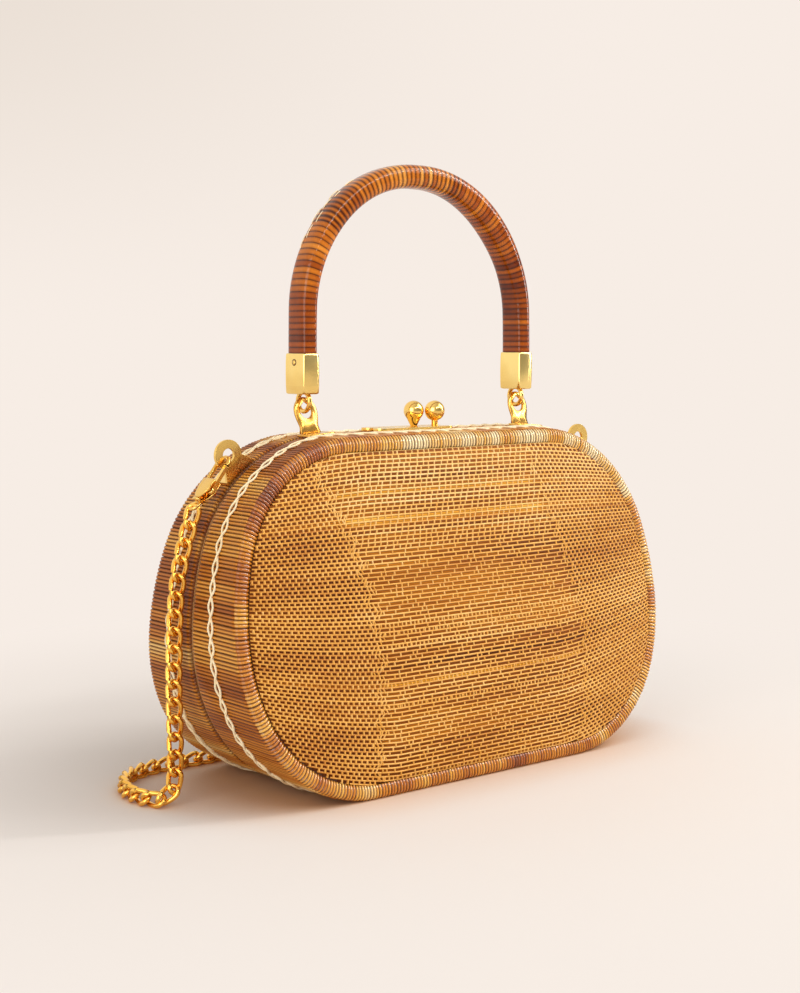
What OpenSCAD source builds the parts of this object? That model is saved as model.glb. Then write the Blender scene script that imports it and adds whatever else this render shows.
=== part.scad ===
// Woven box bag: two rattan-bound halves hinged along the base, an arched handle on brass tabs,
// a ball clasp on top and a link chain on two shoulder lugs. Width along X, front towards -Y.

/* [Body] */
// Width at the widest point of the oval
body_w = 200; // [180:1:220]
// Height from the floor to the flat top
body_h = 122.6; // [116:0.2:130]
// Height of the widest point above the floor
widest_z = 56.5; // [52:0.5:60]
// Depth from front to back along the base
base_depth = 74; // [64:1:90]
// Depth from front to back along the top
top_depth = 36.6; // [33:0.2:48]
// Radius of the two upper corners
top_corner_r = 51.4; // [49:0.2:54]
// Angle through which an upper corner turns before the flank
top_corner_turn = 73.9; // [70:0.1:76]
// Radius of the two lower corners
base_corner_r = 50.4; // [47:0.2:52]
// Angle through which a lower corner turns before the flank
base_corner_turn = 66; // [62:0.5:70]
// Gap between the closed halves at the seam
seam_gap = 0.4; // [0.3:0.1:0.8]
// Clearance between pieces that seat on each other
fit = 0.05; // [0.03:0.01:0.1]

/* [Rims and panels] */
// Thickness of the bent hoop
hoop_t = 4.8; // [4:0.1:6]
// Thickness of the cane binding over the hoop
wrap_t = 1.2; // [1:0.1:1.6]
// Spacing of the ridges in the binding
strand_pitch = 3.1; // [2.6:0.1:5]
// Depth of the grooves between the ridges
strand_groove = 0.4; // [0.2:0.05:0.6]
// Thickness of the woven panel at its edge
panel_t = 2.6; // [2:0.1:4]
// How far the panel edge lies behind the face of the rim
panel_recess = 0.9; // [0.5:0.1:1.5]
// Height of the panel's dome
panel_dome = 5; // [2:0.5:8]
// Spacing of the woven rows
row_pitch = 3; // [2.5:0.1:5]
// Height of the ridge of a woven row
row_ridge = 0.5; // [0.2:0.05:0.8]
// Thickness of the lining
lining_t = 0.8; // [0.5:0.1:1.2]
// Width of the braided stitch line round each half
stitch_w = 1.6; // [1:0.1:2.4]
// Height of the stitch line above the binding
stitch_h = 0.4; // [0.2:0.05:0.6]

/* [Handle] */
// Half the spacing of the handle's legs
leg_x = 50.8; // [49:0.2:53]
// Rise of the arch from the pivot to its outer crown
handle_rise = 88.2; // [80:0.5:100]
// Thickness of the wrapped grip across the arch
grip_w = 7.2; // [6.6:0.1:8.4]
// Depth of the wrapped grip from front to back
grip_d = 10.2; // [9:0.1:11.4]
// Rounding of the grip's section
grip_round = 2.4; // [2:0.1:2.8]
// Centreline radius of the arch's two quarter turns
shoulder_r = 49.4; // [47:0.2:50]
// Thickness of the cane wound on the grip
grip_wrap_t = 1; // [0.8:0.1:1.2]
// Width of one turn of the cane on the grip
turn_pitch = 2.4; // [2:0.1:4]
// Gap between two turns
turn_gap = 0.3; // [0.2:0.05:0.5]
// Height of a ferrule
ferrule_h = 14.2; // [12:0.2:18]
// Wall of a ferrule outside the wrapped grip
ferrule_lip = 0.35; // [0.2:0.05:0.6]
// Depth of the ferrule's socket for the core
socket_depth = 10; // [8:0.5:11]
// Height of the ferrule's underside above the pivot
ferrule_rise = 5.9; // [5.8:0.1:6.6]
// Centreline radius of the wire eye
eye_r = 3.4; // [3.3:0.1:3.6]
// Wire of the eye
eye_wire = 1.7; // [1.4:0.1:1.9]

/* [Brass tabs and lugs] */
// Thickness of the brass sheet
sheet_t = 1.1; // [0.9:0.1:1.3]
// Width of a handle tab at its base
tab_w = 11.6; // [10:0.2:13]
// Width of a handle tab at its waist
tab_waist = 8.4; // [7:0.2:9.4]
// Radius of a handle tab's round head
tab_head_r = 4.6; // [4.3:0.1:5]
// Radius of the eye hole in a handle tab
tab_hole_r = 2.5; // [2.3:0.1:2.8]
// Height of the eye hole above the rim
tab_reach = 8.6; // [8.2:0.1:9.6]
// Length of the tab's foot on the front half
tab_foot = 7.4; // [5:0.2:7.6]
// Backward lean of the tab
tab_lean = 16; // [12:1:18]
// Place of a chain lug round the upper corner
lug_turn = 39; // [34:1:44]
// Width of a chain lug at its base
lug_w = 13; // [11:0.2:15]
// Radius of a chain lug's round head
lug_head_r = 5.3; // [5:0.1:6]
// Radius of the hole in a chain lug
lug_hole_r = 2.3; // [2.1:0.1:2.6]
// Height of the hole above the rim
lug_reach = 7.6; // [7.3:0.1:8.6]
// Length of the lug's foot on the back half
lug_foot = 7; // [5:0.2:8]

/* [Clasp] */
// Sideways place of the clasp
clasp_x = 2.3; // [-4:0.1:4]
// Diameter of a clasp ball
ball_d = 7.5; // [6.6:0.1:7.5]
// Spacing of the balls along the seam
ball_spacing = 6.9; // [6.9:0.1:9]
// Distance of each ball from the seam
ball_y = 1.9; // [1.9:0.1:2.4]
// Height of a ball's centre above the plate
ball_rise = 5.6; // [5:0.1:8]
// Diameter of a ball's post
post_d = 2.4; // [2:0.1:2.6]
// Length of a clasp plate
plate_l = 36; // [30:1:44]
// Width of a clasp plate
plate_w = 6; // [4.8:0.2:6.8]
// How far the plates reach to the left of the clasp's middle
plate_shift = 8; // [0:0.5:9]
// Thickness of a clasp plate
plate_t = 1.6; // [1:0.1:1.8]

/* [Base hinges] */
// Place of each hinge from the middle
hinge_x = 30; // [22:1:36]
// Length of a hinge
hinge_l = 15; // [12:0.5:20]
// Width of one hinge leaf
leaf_w = 10; // [8:0.5:14]
// Thickness of a hinge leaf
leaf_t = 0.8; // [0.6:0.1:0.9]
// Height of the hinge axis above the floor
axis_z = 1.75; // [1.7:0.05:1.9]
// Radius of a hinge knuckle
knuckle_r = 1.4; // [1.3:0.05:1.5]
// Radius of the hinge pin
pin_r = 0.65; // [0.5:0.05:0.8]
// Half width of the groove along the base seam
groove_r = 2.2; // [2.15:0.05:2.6]
// Gap between two knuckles
knuckle_gap = 0.2; // [0.1:0.05:0.4]

/* [Snap hooks] */
// Angle at which a hook hangs away from the plumb line
hook_hang = 37; // [35:1:40]
// Centreline radius of the hook's bend
hook_r = 3; // [2.9:0.1:3.3]
// Wire of the hook
hook_wire = 1.5; // [1.3:0.1:1.6]
// How far the hook hangs below the middle of the lug's hole
hook_drop = 1; // [0.8:0.1:1.2]
// Length of the hook's straight legs
hook_leg = 6.6; // [6.2:0.2:7.2]
// Height of the hook's body
hook_body_h = 7.6; // [7:0.2:8.2]
// Width of the hook's body across the hook
hook_body_d = 3.6; // [3.4:0.1:4]
// Width of the gate's slot in the body
gate_slot = 1.9; // [1.7:0.1:2]
// Radius of the gate's pivot pin
gate_pin_r = 0.5; // [0.4:0.05:0.6]
// Side clearance of the gate in its slot
gate_gap = 0.3; // [0.2:0.05:0.35]
// Centreline radius of the swivel ring
ring_r = 1.9; // [1.8:0.1:2.1]
// Wire of the swivel ring
ring_wire = 1.2; // [1:0.1:1.2]
// Lean of the swivel ring away from the hook, towards the hanging chain
ring_lean = 20; // [16:1:22]

/* [Chain] */
// Spacing of the links along the chain
link_pitch = 6; // [5.8:0.1:6.2]
// Wire of a link
link_wire = 1.5; // [1.3:0.1:1.6]
// Clear width inside a link
link_gap_w = 2.2; // [2.1:0.05:2.4]
// Play between two links
link_play = 0.25; // [0.2:0.05:0.3]
// Turn of the first link about the chain; each next one stands across it
link_roll = 20; // [15:1:25]

/* [Hidden] */
$fn = 64;

cane = "sienna";
straw = "peru";
cream = "wheat";
gilt = "goldenrod";
cloth = "tan";

rim_w = hoop_t + wrap_t;
far = 2 * body_w;
// Angle of one chord of the oval
arc_step = 2.5;

// Flank arcs and flats that complete the oval
flank_top_r = (body_h - widest_z - top_corner_r * (1 - cos(top_corner_turn))) / cos(top_corner_turn);
flank_base_r = (widest_z - base_corner_r * (1 - cos(base_corner_turn))) / cos(base_corner_turn);
top_flat = body_w / 2 - top_corner_r * sin(top_corner_turn) - flank_top_r * (1 - sin(top_corner_turn));
base_flat = body_w / 2 - base_corner_r * sin(base_corner_turn) - flank_base_r * (1 - sin(base_corner_turn));

// Arcs of the right side from top to bottom: centre x, centre z, radius, first angle, last angle
arcs = [
    [top_flat, body_h - top_corner_r, top_corner_r, 90, 90 - top_corner_turn],
    [body_w / 2 - flank_top_r, widest_z, flank_top_r, 90 - top_corner_turn, 0],
    [body_w / 2 - flank_base_r, widest_z, flank_base_r, 0, base_corner_turn - 90],
    [base_flat, base_corner_r, base_corner_r, base_corner_turn - 90, -90]
];

function arc_point(a, angle, grow) = [a[0] + (a[2] + grow) * cos(angle), a[1] + (a[2] + grow) * sin(angle)];
function arc_length(a) = a[2] * (a[3] - a[4]) * PI / 180;
function flip(p) = [-p[0], p[1]];
function total(v, i = 0) = i < len(v) ? v[i] + total(v, i + 1) : 0;

// Point of the right side at distance s from the top middle, moved outwards by grow
function side_point(s, grow) = s < top_flat ? [s, body_h + grow] : arc_walk(s - top_flat, grow, 0);
function arc_walk(s, grow, i) =
    i == len(arcs) ? [base_flat - s, -grow] :
    s < arc_length(arcs[i]) ?
        arc_point(arcs[i], arcs[i][3] - (arcs[i][3] - arcs[i][4]) * s / arc_length(arcs[i]), grow) :
        arc_walk(s - arc_length(arcs[i]), grow, i + 1);

half_girth = top_flat + total([for (a = arcs) arc_length(a)]) + base_flat;
function rim_point(s, grow) =
    s <= half_girth ? side_point(s, grow) : flip(side_point(2 * half_girth - s, grow));

// Half width of the oval at height z, drawn in by inset
function half_width(z, inset) =
    let (
        a = z > arc_point(arcs[1], arcs[1][3], -inset)[1] ? arcs[0] :
            z > widest_z ? arcs[1] :
            z > arc_point(arcs[2], arcs[2][4], -inset)[1] ? arcs[2] : arcs[3],
        r = a[2] - inset
    )
    a[0] + sqrt(max(0, r * r - pow(z - a[1], 2)));

// Tilt of the front face and its distance from the seam at height z
face_tilt = atan((base_depth - top_depth) / 2 / body_h);
function face_y(z) = base_depth / 2 - z * tan(face_tilt);

// Handle pivot, found from the tab that carries it
tab_bend_y = seam_gap;
tab_turn = leg_x > top_flat ? asin((leg_x - top_flat) / (top_corner_r + tab_reach)) : 0;
sheet_y = sheet_t / cos(tab_lean);
hole_y = (tab_reach - fit) * tan(tab_lean) - tab_bend_y - sheet_y / 2;
pivot_y = hole_y + eye_r * sin(tab_lean);
pivot_z = body_h - top_corner_r + (top_corner_r + tab_reach) * cos(tab_turn);

// Arch of the handle
crown_z = pivot_z + handle_rise - grip_w / 2;
crown_half = leg_x - shoulder_r;
spring_z = crown_z - shoulder_r;
ferrule_z = pivot_z + ferrule_rise;
eye_z = pivot_z + eye_r * cos(tab_lean);
grip_z = ferrule_z + ferrule_h;

// Chain route: the left hook's ring, the drop to the floor, the bow behind the bag and the right ring
lug_y = seam_gap + sheet_t / 2;
ring_y = lug_y + hook_r / 2;
hook_len = hook_drop + hook_r + hook_leg + hook_body_h + ring_r * cos(ring_lean) + ring_wire / 2;
lug_hole_x = top_flat + (top_corner_r + lug_reach) * sin(lug_turn);
lug_hole_z = body_h - top_corner_r + (top_corner_r + lug_reach) * cos(lug_turn);
ring_x = lug_hole_x + hook_len * sin(hook_hang);
ring_z = lug_hole_z - hook_len * cos(hook_hang);
drop_side = [
    [-98.6, 3, 91.4], [-100.3, 3.2, 85.9], [-101.6, 3.3, 80.3], [-102.6, 3.3, 74.7], [-103.3, 3.3, 69],
    [-103.8, 3.2, 63.4], [-104.2, 3.1, 57.8], [-104.5, 3, 49.5], [-104.7, 3, 40.8], [-104.6, 3, 32.2],
    [-104.5, 2.9, 23.4]
];
bow = [
    [-104.9, 2.4, 13.6], [-106, 1.2, 6.6], [-109, 0.6, 3.1], [-112.4, 3.6, 2.7], [-114.4, 11, 2.7],
    [-113.7, 20, 2.7], [-109.8, 29, 2.7], [-103, 36.2, 2.7], [-96, 39.6, 2.7], [-89, 41.2, 2.7],
    [-80, 41.6, 2.7], [-70, 41.4, 2.7], [-58, 42, 2.7], [-46, 45, 2.7], [-34, 53, 2.7],
    [-21, 63, 2.7], [-6, 68, 2.7], [9, 64, 2.7], [21, 54, 2.7], [34, 46, 2.7],
    [48, 45, 2.7], [61, 51, 2.7], [73, 60, 2.7], [87, 65, 2.7], [100, 60, 2.7],
    [108, 49, 2.7], [110.6, 36, 2.7], [110.2, 23, 3.4], [108.2, 13.4, 7], [106.2, 6.6, 14]
];
route = concat(
    [[-ring_x, ring_y, ring_z]], drop_side, bow,
    [for (i = [len(drop_side) - 1:-1:0]) [-drop_side[i][0], drop_side[i][1], drop_side[i][2]]],
    [[ring_x, ring_y, ring_z]]
);

// Smooth curve through the route, its lengths and the places of the links along it
steps = 6;
function curve_point(p, i, t) =
    let (a = p[max(i - 1, 0)], b = p[i], c = p[i + 1], d = p[min(i + 2, len(p) - 1)])
    0.5 * (2 * b + (c - a) * t + (2 * a - 5 * b + 4 * c - d) * t * t + (3 * b - a - 3 * c + d) * t * t * t);
curve = [
    for (i = [0:len(route) - 2]) for (k = [0:steps - 1]) curve_point(route, i, k / steps),
    route[len(route) - 1]
];
reach = [for (i = 0, s = 0; i < len(curve); s = s + (i + 1 < len(curve) ? norm(curve[i + 1] - curve[i]) : 0),
    i = i + 1) s];
chain_l = reach[len(reach) - 1];
tables = [for (axis = [0:2]) [for (i = [0:len(curve) - 1]) [reach[i], curve[i][axis]]]];
function chain_point(s) = [for (axis = [0:2]) lookup(s, tables[axis])];
function unit(v) = v / norm(v);
link_in = link_pitch + link_play;
link_out = link_in + link_wire;
link_count = round((chain_l - link_out) / link_pitch) + 1;
link_step = (chain_l - link_out) / (link_count - 1);
function link_s(i) = link_out / 2 + i * link_step;
function link_dir(i) = unit(chain_point(link_s(i) + link_in / 2) - chain_point(link_s(i) - link_in / 2));
function link_mid(i) =
    (chain_point(link_s(i) + link_in / 2) + chain_point(link_s(i) - link_in / 2)) / 2;
link_side = [
    for (i = 0, n = unit(cross(link_dir(0), [0, 1, 0])); i < link_count;
        n = i + 1 < link_count ? unit(n - (n * link_dir(i + 1)) * link_dir(i + 1)) : n, i = i + 1) n
];

// Oval of the body, grown outwards by grow
module oval(grow) {
    right = [
        arc_point(arcs[0], arcs[0][3], grow),
        for (a = arcs)
            let (n = ceil((a[3] - a[4]) / arc_step))
            for (k = [1:n]) arc_point(a, a[3] - (a[3] - a[4]) * k / n, grow)
    ];
    polygon(concat(right, [for (i = [len(right) - 1:-1:0]) flip(right[i])]));
}

// Oval with a flat-topped ridge for each strand of the binding, one of them at the middle of the base
module ridged_oval() {
    count = 2 * round(half_girth / strand_pitch);
    step = 2 * half_girth / count;
    polygon([
        for (i = [0:count - 1])
            each [
                rim_point((i + 0.2) * step, 0),
                rim_point((i + 0.5) * step, -strand_groove),
                rim_point((i + 0.8) * step, 0)
            ]
    ]);
}

// Draws a shape of the XZ plane out towards the front
module forward(length) {
    rotate([90, 0, 0])
        linear_extrude(length)
            children();
}

// Space behind the tilted front face, drawn in by inset
module behind_face(inset) {
    translate([0, inset - base_depth / 2, 0])
        rotate([-face_tilt, 0, 0])
            translate([-far, 0, -far])
                cube([2 * far, far, 2 * far]);
}

// Plug of the oval from the seam to the front face
module plug(grow, inset) {
    intersection() {
        translate([0, -seam_gap / 2, 0])
            forward(base_depth)
                oval(grow);
        behind_face(inset);
    }
}

// Straight hole of the oval through a half
module through(grow) {
    translate([0, 1, 0])
        forward(base_depth + 2)
            oval(grow);
}

// Groove along the base seam that lets the halves turn about the hinge axis
module base_groove() {
    rotate([0, 90, 0])
        translate([-axis_z, 0, -body_w])
            cylinder(h = 2 * body_w, r = groove_r);
    translate([-body_w, -groove_r, -1])
        cube([2 * body_w, 2 * groove_r, axis_z + 1]);
}

// Pockets for the hinge leaves in the underside
module hinge_pockets() {
    leaf_top = axis_z - knuckle_r + leaf_t;
    for (x = [-hinge_x, hinge_x])
        translate([x - hinge_l / 2 - fit, -leaf_w - fit, -1])
            cube([hinge_l + 2 * fit, leaf_w + fit, leaf_top + fit + 1]);
}

module half_hoop() {
    color(straw)
        difference() {
            plug(-wrap_t - fit, wrap_t + fit);
            through(-rim_w);
            base_groove();
            hinge_pockets();
        }
}

module half_wrap() {
    color(cane)
        difference() {
            intersection() {
                translate([0, -seam_gap / 2, 0])
                    forward(base_depth)
                        ridged_oval();
                behind_face(0);
            }
            intersection() {
                through(-wrap_t);
                behind_face(wrap_t);
            }
            through(-rim_w);
            base_groove();
            hinge_pockets();
        }
}

// Domed panel of woven rows: a closed skin over a grid of rows and columns
module half_panel() {
    inset = rim_w + fit;
    low = inset;
    high = body_h - inset;
    rows = 2 * round((high - low) / row_pitch);
    columns = 16;
    function row_z(i) = low + (high - low) * i / rows;
    function across(j) = -cos(180 * j / columns);
    function bulge(u, v) = panel_dome * pow(max(0, (1 - u * u) * (1 - v * v)), 0.6);
    front = [
        for (i = [0:rows]) for (j = [0:columns])
            let (
                z = row_z(i),
                u = across(j),
                v = 2 * i / rows - 1,
                edge = i == 0 || i == rows || j == 0 || j == columns,
                ridge = edge ? 0 : (i % 2) * row_ridge
            )
            [u * half_width(z, inset), panel_recess - face_y(z) - bulge(u, v) - ridge, z]
    ];
    ring = concat(
        [for (j = [0:columns]) j],
        [for (i = [1:rows]) i * (columns + 1) + columns],
        [for (j = [columns - 1:-1:0]) rows * (columns + 1) + j],
        [for (i = [rows - 1:-1:1]) i * (columns + 1)]
    );
    n = len(ring);
    back = [for (k = ring) [front[k][0], panel_recess + panel_t - face_y(front[k][2]), front[k][2]]];
    first = len(front);
    hub_z = (low + high) / 2;
    hub = [0, panel_recess + panel_t - face_y(hub_z), hub_z];
    color(straw)
        polyhedron(
            concat(front, back, [hub]),
            concat(
                [for (i = [0:rows - 1]) for (j = [0:columns - 1])
                    let (a = i * (columns + 1) + j, b = a + columns + 1)
                    each [[a, b, a + 1], [a + 1, b, b + 1]]],
                [for (k = [0:n - 1])
                    let (m = (k + 1) % n)
                    each [[ring[k], ring[m], first + m], [ring[k], first + m, first + k]]],
                [for (k = [0:n - 1]) [first + k, first + (k + 1) % n, first + n]]
            )
        );
}

module half_lining() {
    edge = -rim_w - fit;
    depth = panel_recess + panel_t + fit;
    color(cloth)
        difference() {
            plug(edge, depth);
            intersection() {
                through(edge - lining_t);
                behind_face(depth + lining_t);
            }
        }
}

// Braided line midway between the seam and the front face
module half_stitch() {
    mid_tilt = atan((base_depth - top_depth) / 4 / body_h);
    color(cream)
        intersection() {
            forward(base_depth)
                difference() {
                    oval(stitch_h);
                    oval(fit);
                }
            translate([-far, -base_depth / 4, 0])
                rotate([-mid_tilt, 0, 0])
                    translate([0, -stitch_w / 2, -far])
                        cube([2 * far, stitch_w, 2 * far]);
            translate([-far, -far, fit])
                cube(2 * far);
        }
}

// Places its child on the surface of the right upper corner, turned outwards by turn
module on_corner(turn, x) {
    translate([x, 0, body_h - top_corner_r])
        rotate([0, turn, 0])
            translate([0, 0, top_corner_r])
                children();
}

module upright_sheet(t) {
    rotate([90, 0, 0])
        linear_extrude(t)
            children();
}

// Bent brass tab with its foot on the front half and its eye leaning back over the seam
module tab() {
    color(gilt)
        on_corner(tab_turn, min(leg_x, top_flat))
            difference() {
                intersection() {
                    tab_bend();
                    tab_outline();
                }
                tab_round(tab_hole_r);
            }
}

// Bent sheet seen from the side, drawn across the whole width
module tab_bend() {
    top = tab_reach + tab_head_r + 1;
    rise = tan(tab_lean);
    translate([-tab_w / 2, 0, 0])
        rotate([90, 0, 90])
            linear_extrude(tab_w)
                polygon([
                    [-tab_bend_y - tab_foot, fit], [-tab_bend_y, fit],
                    [-tab_bend_y + (top - fit) * rise, top],
                    [-tab_bend_y + (top - fit) * rise - sheet_y, top],
                    [-tab_bend_y + sheet_t * rise - sheet_y, fit + sheet_t],
                    [-tab_bend_y - tab_foot, fit + sheet_t]
                ]);
}

// Front view of the tab, drawn through the whole depth
module tab_outline() {
    shoulder = fit + sheet_t + 1;
    translate([0, far / 2, 0])
        forward(far)
            polygon([
                [-tab_w / 2 - 1, 0], [tab_w / 2 + 1, 0], [tab_w / 2, shoulder],
                [tab_waist / 2, tab_reach - tab_head_r / 2], [tab_waist / 2, tab_reach],
                [-tab_waist / 2, tab_reach], [-tab_waist / 2, tab_reach - tab_head_r / 2],
                [-tab_w / 2, shoulder]
            ]);
    tab_round(tab_head_r);
}

// Round bar through the tab's eye, from front to back
module tab_round(r) {
    translate([0, far / 2, tab_reach])
        rotate([90, 0, 0])
            cylinder(h = far, r = r);
}

// Brass lug with its plate at the seam and its curved foot on the back half
module lug() {
    color(gilt)
        on_corner(lug_turn, top_flat)
            difference() {
                union() {
                    translate([0, seam_gap + sheet_t, 0])
                        upright_sheet(sheet_t)
                            lug_profile();
                    intersection() {
                        translate([0, seam_gap, -top_corner_r])
                            rotate([-90, 0, 0])
                                cylinder(h = lug_foot, r = top_corner_r + fit + sheet_t);
                        translate([-lug_w / 2, 0, -lug_w / 2])
                            cube([lug_w, lug_foot + 1, lug_w]);
                    }
                }
                translate([0, -1, -top_corner_r])
                    rotate([-90, 0, 0])
                        cylinder(h = lug_foot + 2, r = top_corner_r + fit);
            }
}

module lug_profile() {
    difference() {
        union() {
            translate([0, lug_reach])
                circle(lug_head_r);
            polygon([
                [-lug_w / 2, -sheet_t], [lug_w / 2, -sheet_t], [lug_w / 2, sheet_t / 2],
                [lug_head_r * 0.8, lug_reach - lug_head_r * 0.6],
                [-lug_head_r * 0.8, lug_reach - lug_head_r * 0.6], [-lug_w / 2, sheet_t / 2]
            ]);
        }
        translate([0, lug_reach])
            circle(lug_hole_r);
    }
}

// Plate of the clasp on the front half
module clasp_plate() {
    end = (plate_l - plate_w) / 2;
    color(gilt)
        translate([clasp_x - plate_shift, -seam_gap - plate_w / 2, body_h + fit])
            linear_extrude(plate_t) {
                square([2 * end, plate_w], center = true);
                for (x = [-end, end])
                    translate([x, 0])
                        circle(plate_w / 2);
            }
}

// Places its child on a clasp plate
module on_plate(x, y) {
    translate([clasp_x + x, y, body_h + fit + plate_t])
        children();
}

// Ball on a straight post
module front_ball() {
    color(gilt)
        on_plate(ball_spacing / 2, -ball_y) {
            translate([0, 0, ball_rise])
                sphere(d = ball_d);
            cylinder(h = ball_rise, d = post_d);
        }
}

// Ball on a tapered neck
module back_ball() {
    color(gilt)
        on_plate(-ball_spacing / 2, ball_y) {
            translate([0, 0, ball_rise])
                sphere(d = ball_d);
            cylinder(h = ball_rise - ball_d / 4, d1 = post_d, d2 = ball_d * 0.8);
        }
}

module along_axis(x, length) {
    translate([x, 0, axis_z])
        rotate([0, 90, 0])
            translate([0, 0, -length / 2])
                children();
}

// Hinge leaf on the front half; the middle knuckle or the two outer knuckles belong to it
module leaf(x, middle) {
    third = (hinge_l - 2 * knuckle_gap) / 3;
    offsets = middle ? [0] : [-third - knuckle_gap, third + knuckle_gap];
    base = axis_z - knuckle_r;
    start = knuckle_r + knuckle_gap;
    color(gilt)
        difference() {
            union() {
                translate([x - hinge_l / 2, -leaf_w, base])
                    cube([hinge_l, leaf_w - start, leaf_t]);
                for (o = offsets) {
                    translate([x + o - third / 2, -start, base])
                        cube([third, start, leaf_t]);
                    along_axis(x + o, third)
                        cylinder(h = third, r = knuckle_r);
                }
            }
            along_axis(x, 2 * hinge_l)
                cylinder(h = 2 * hinge_l, r = pin_r + fit);
        }
}

module hinge_pin(x) {
    color(gilt)
        along_axis(x, hinge_l)
            cylinder(h = hinge_l, r = pin_r);
}

// Section of the grip in the XY plane, drawn in by inset
module grip_section(inset) {
    w = grip_w / 2 - inset;
    d = grip_d / 2 - inset;
    r = grip_round - inset;
    polygon([
        for (quarter = [0:3]) for (angle = [0, 45, 90])
            [
                (quarter == 0 || quarter == 3 ? 1 : -1) * (w - r) + r * cos(90 * quarter + angle),
                (quarter < 2 ? 1 : -1) * (d - r) + r * sin(90 * quarter + angle)
            ]
    ]);
}

// Piece of the right quarter turn of the arch
module arch_part(first, turn) {
    translate([crown_half, pivot_y, spring_z])
        rotate([90, 0, 0])
            rotate([0, 0, first])
                rotate_extrude(angle = turn)
                    translate([shoulder_r, 0])
                        children();
}

// Level piece of the crown
module crown_part(length) {
    translate([-length / 2, pivot_y, crown_z])
        rotate([90, 0, 90])
            linear_extrude(length)
                rotate([0, 0, 90])
                    children();
}

// Right half of the arch and its mirror image
module both_sides() {
    children();
    mirror([1, 0, 0])
        children();
}

module handle_core() {
    inset = grip_wrap_t + fit;
    color(straw) {
        both_sides() {
            translate([leg_x, pivot_y, grip_z - socket_depth + fit])
                linear_extrude(spring_z - grip_z + socket_depth - fit)
                    grip_section(inset);
            arch_part(0, 90)
                grip_section(inset);
        }
        crown_part(2 * crown_half)
            grip_section(inset);
    }
}

module turn_section() {
    difference() {
        grip_section(0);
        grip_section(grip_wrap_t);
    }
}

// Turns of cane side by side along the legs, the quarter turns and the crown
module handle_wrap() {
    leg_l = spring_z - grip_z;
    leg_turns = max(1, round(leg_l / turn_pitch));
    leg_pitch = leg_l / leg_turns;
    arc_turns = round(shoulder_r * PI / 2 / turn_pitch);
    arc_pitch = 90 / arc_turns;
    arc_gap = turn_gap / shoulder_r * 180 / PI;
    color(cane) {
        both_sides() {
            for (i = [0:leg_turns - 1])
                translate([leg_x, pivot_y, grip_z + i * leg_pitch + turn_gap / 2])
                    linear_extrude(leg_pitch - turn_gap)
                        turn_section();
            for (i = [0:arc_turns - 1])
                arch_part(i * arc_pitch + arc_gap / 2, arc_pitch - arc_gap)
                    turn_section();
        }
        crown_part(2 * crown_half - turn_gap)
            turn_section();
    }
}

// Square-cornered brass cap on the end of the grip
module ferrule() {
    w = grip_w + 2 * ferrule_lip;
    d = grip_d + 2 * ferrule_lip;
    color(gilt)
        translate([leg_x, pivot_y, ferrule_z])
            difference() {
                translate([-w / 2, -d / 2, 0])
                    cube([w, d, ferrule_h]);
                translate([0, 0, ferrule_h - socket_depth])
                    linear_extrude(socket_depth + 1)
                        grip_section(grip_wrap_t);
            }
}

// Wire eye under the ferrule that passes through the tab
module handle_eye() {
    color(gilt)
        translate([leg_x, pivot_y, eye_z])
            difference() {
                rotate([0, 90, 0])
                    rotate_extrude()
                        translate([eye_r, 0])
                            circle(d = eye_wire);
                translate([-eye_r, -2 * eye_r, ferrule_z - eye_z])
                    cube([2 * eye_r, 4 * eye_r, 2 * eye_r]);
            }
}

// Frame of the right hook: origin at the middle of the lug's hole, hook hanging along -Z
module on_lug() {
    translate([lug_hole_x, lug_y, lug_hole_z])
        rotate([0, -hook_hang, 0])
            children();
}

bend_z = -hook_drop - hook_r;
body_top_z = bend_z - hook_leg;
gate_z = body_top_z - hook_body_h / 2;
gate_knuckle_r = gate_pin_r + fit + 0.6;

// Snap hook: bend and fixed leg, slotted body with the gate's pin, swivel ring
module hook() {
    body_w_y = 2 * hook_r + hook_wire;
    color(gilt)
        on_lug() {
            translate([0, 0, bend_z])
                rotate([90, 0, 90])
                    rotate_extrude(angle = 180)
                        translate([hook_r, 0])
                            circle(d = hook_wire);
            translate([0, hook_r, body_top_z])
                cylinder(h = hook_leg, d = hook_wire);
            difference() {
                translate([-hook_body_d / 2, -body_w_y / 2, body_top_z - hook_body_h])
                    cube([hook_body_d, body_w_y, hook_body_h]);
                translate([-gate_slot / 2, -body_w_y / 2 - 1, body_top_z - hook_body_h - 1])
                    cube([gate_slot, hook_r + hook_wire + 1, hook_body_h + 2]);
            }
            translate([-hook_body_d / 2, -hook_r, gate_z])
                rotate([0, 90, 0])
                    cylinder(h = hook_body_d, r = gate_pin_r);
            translate([0, hook_r / 2, fit - hook_len])
                rotate([0, 90 + ring_lean, 0])
                    rotate_extrude()
                        translate([ring_r, 0])
                            circle(d = ring_wire);
        }
}

// Gate that closes the hook, turning on the body's pin
module gate() {
    tip_z = bend_z - gate_gap;
    gate_w = gate_slot - 2 * gate_gap;
    color(gilt)
        on_lug()
            difference() {
                union() {
                    translate([-gate_w / 2, -hook_r - hook_wire / 2, gate_z])
                        cube([gate_w, hook_wire, tip_z - gate_z]);
                    translate([-gate_w / 2, -hook_r, gate_z])
                        rotate([0, 90, 0])
                            cylinder(h = gate_w, r = gate_knuckle_r);
                }
                translate([-gate_w, -hook_r, gate_z])
                    rotate([0, 90, 0])
                        cylinder(h = 2 * gate_w, r = gate_pin_r + fit);
            }
}

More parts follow.
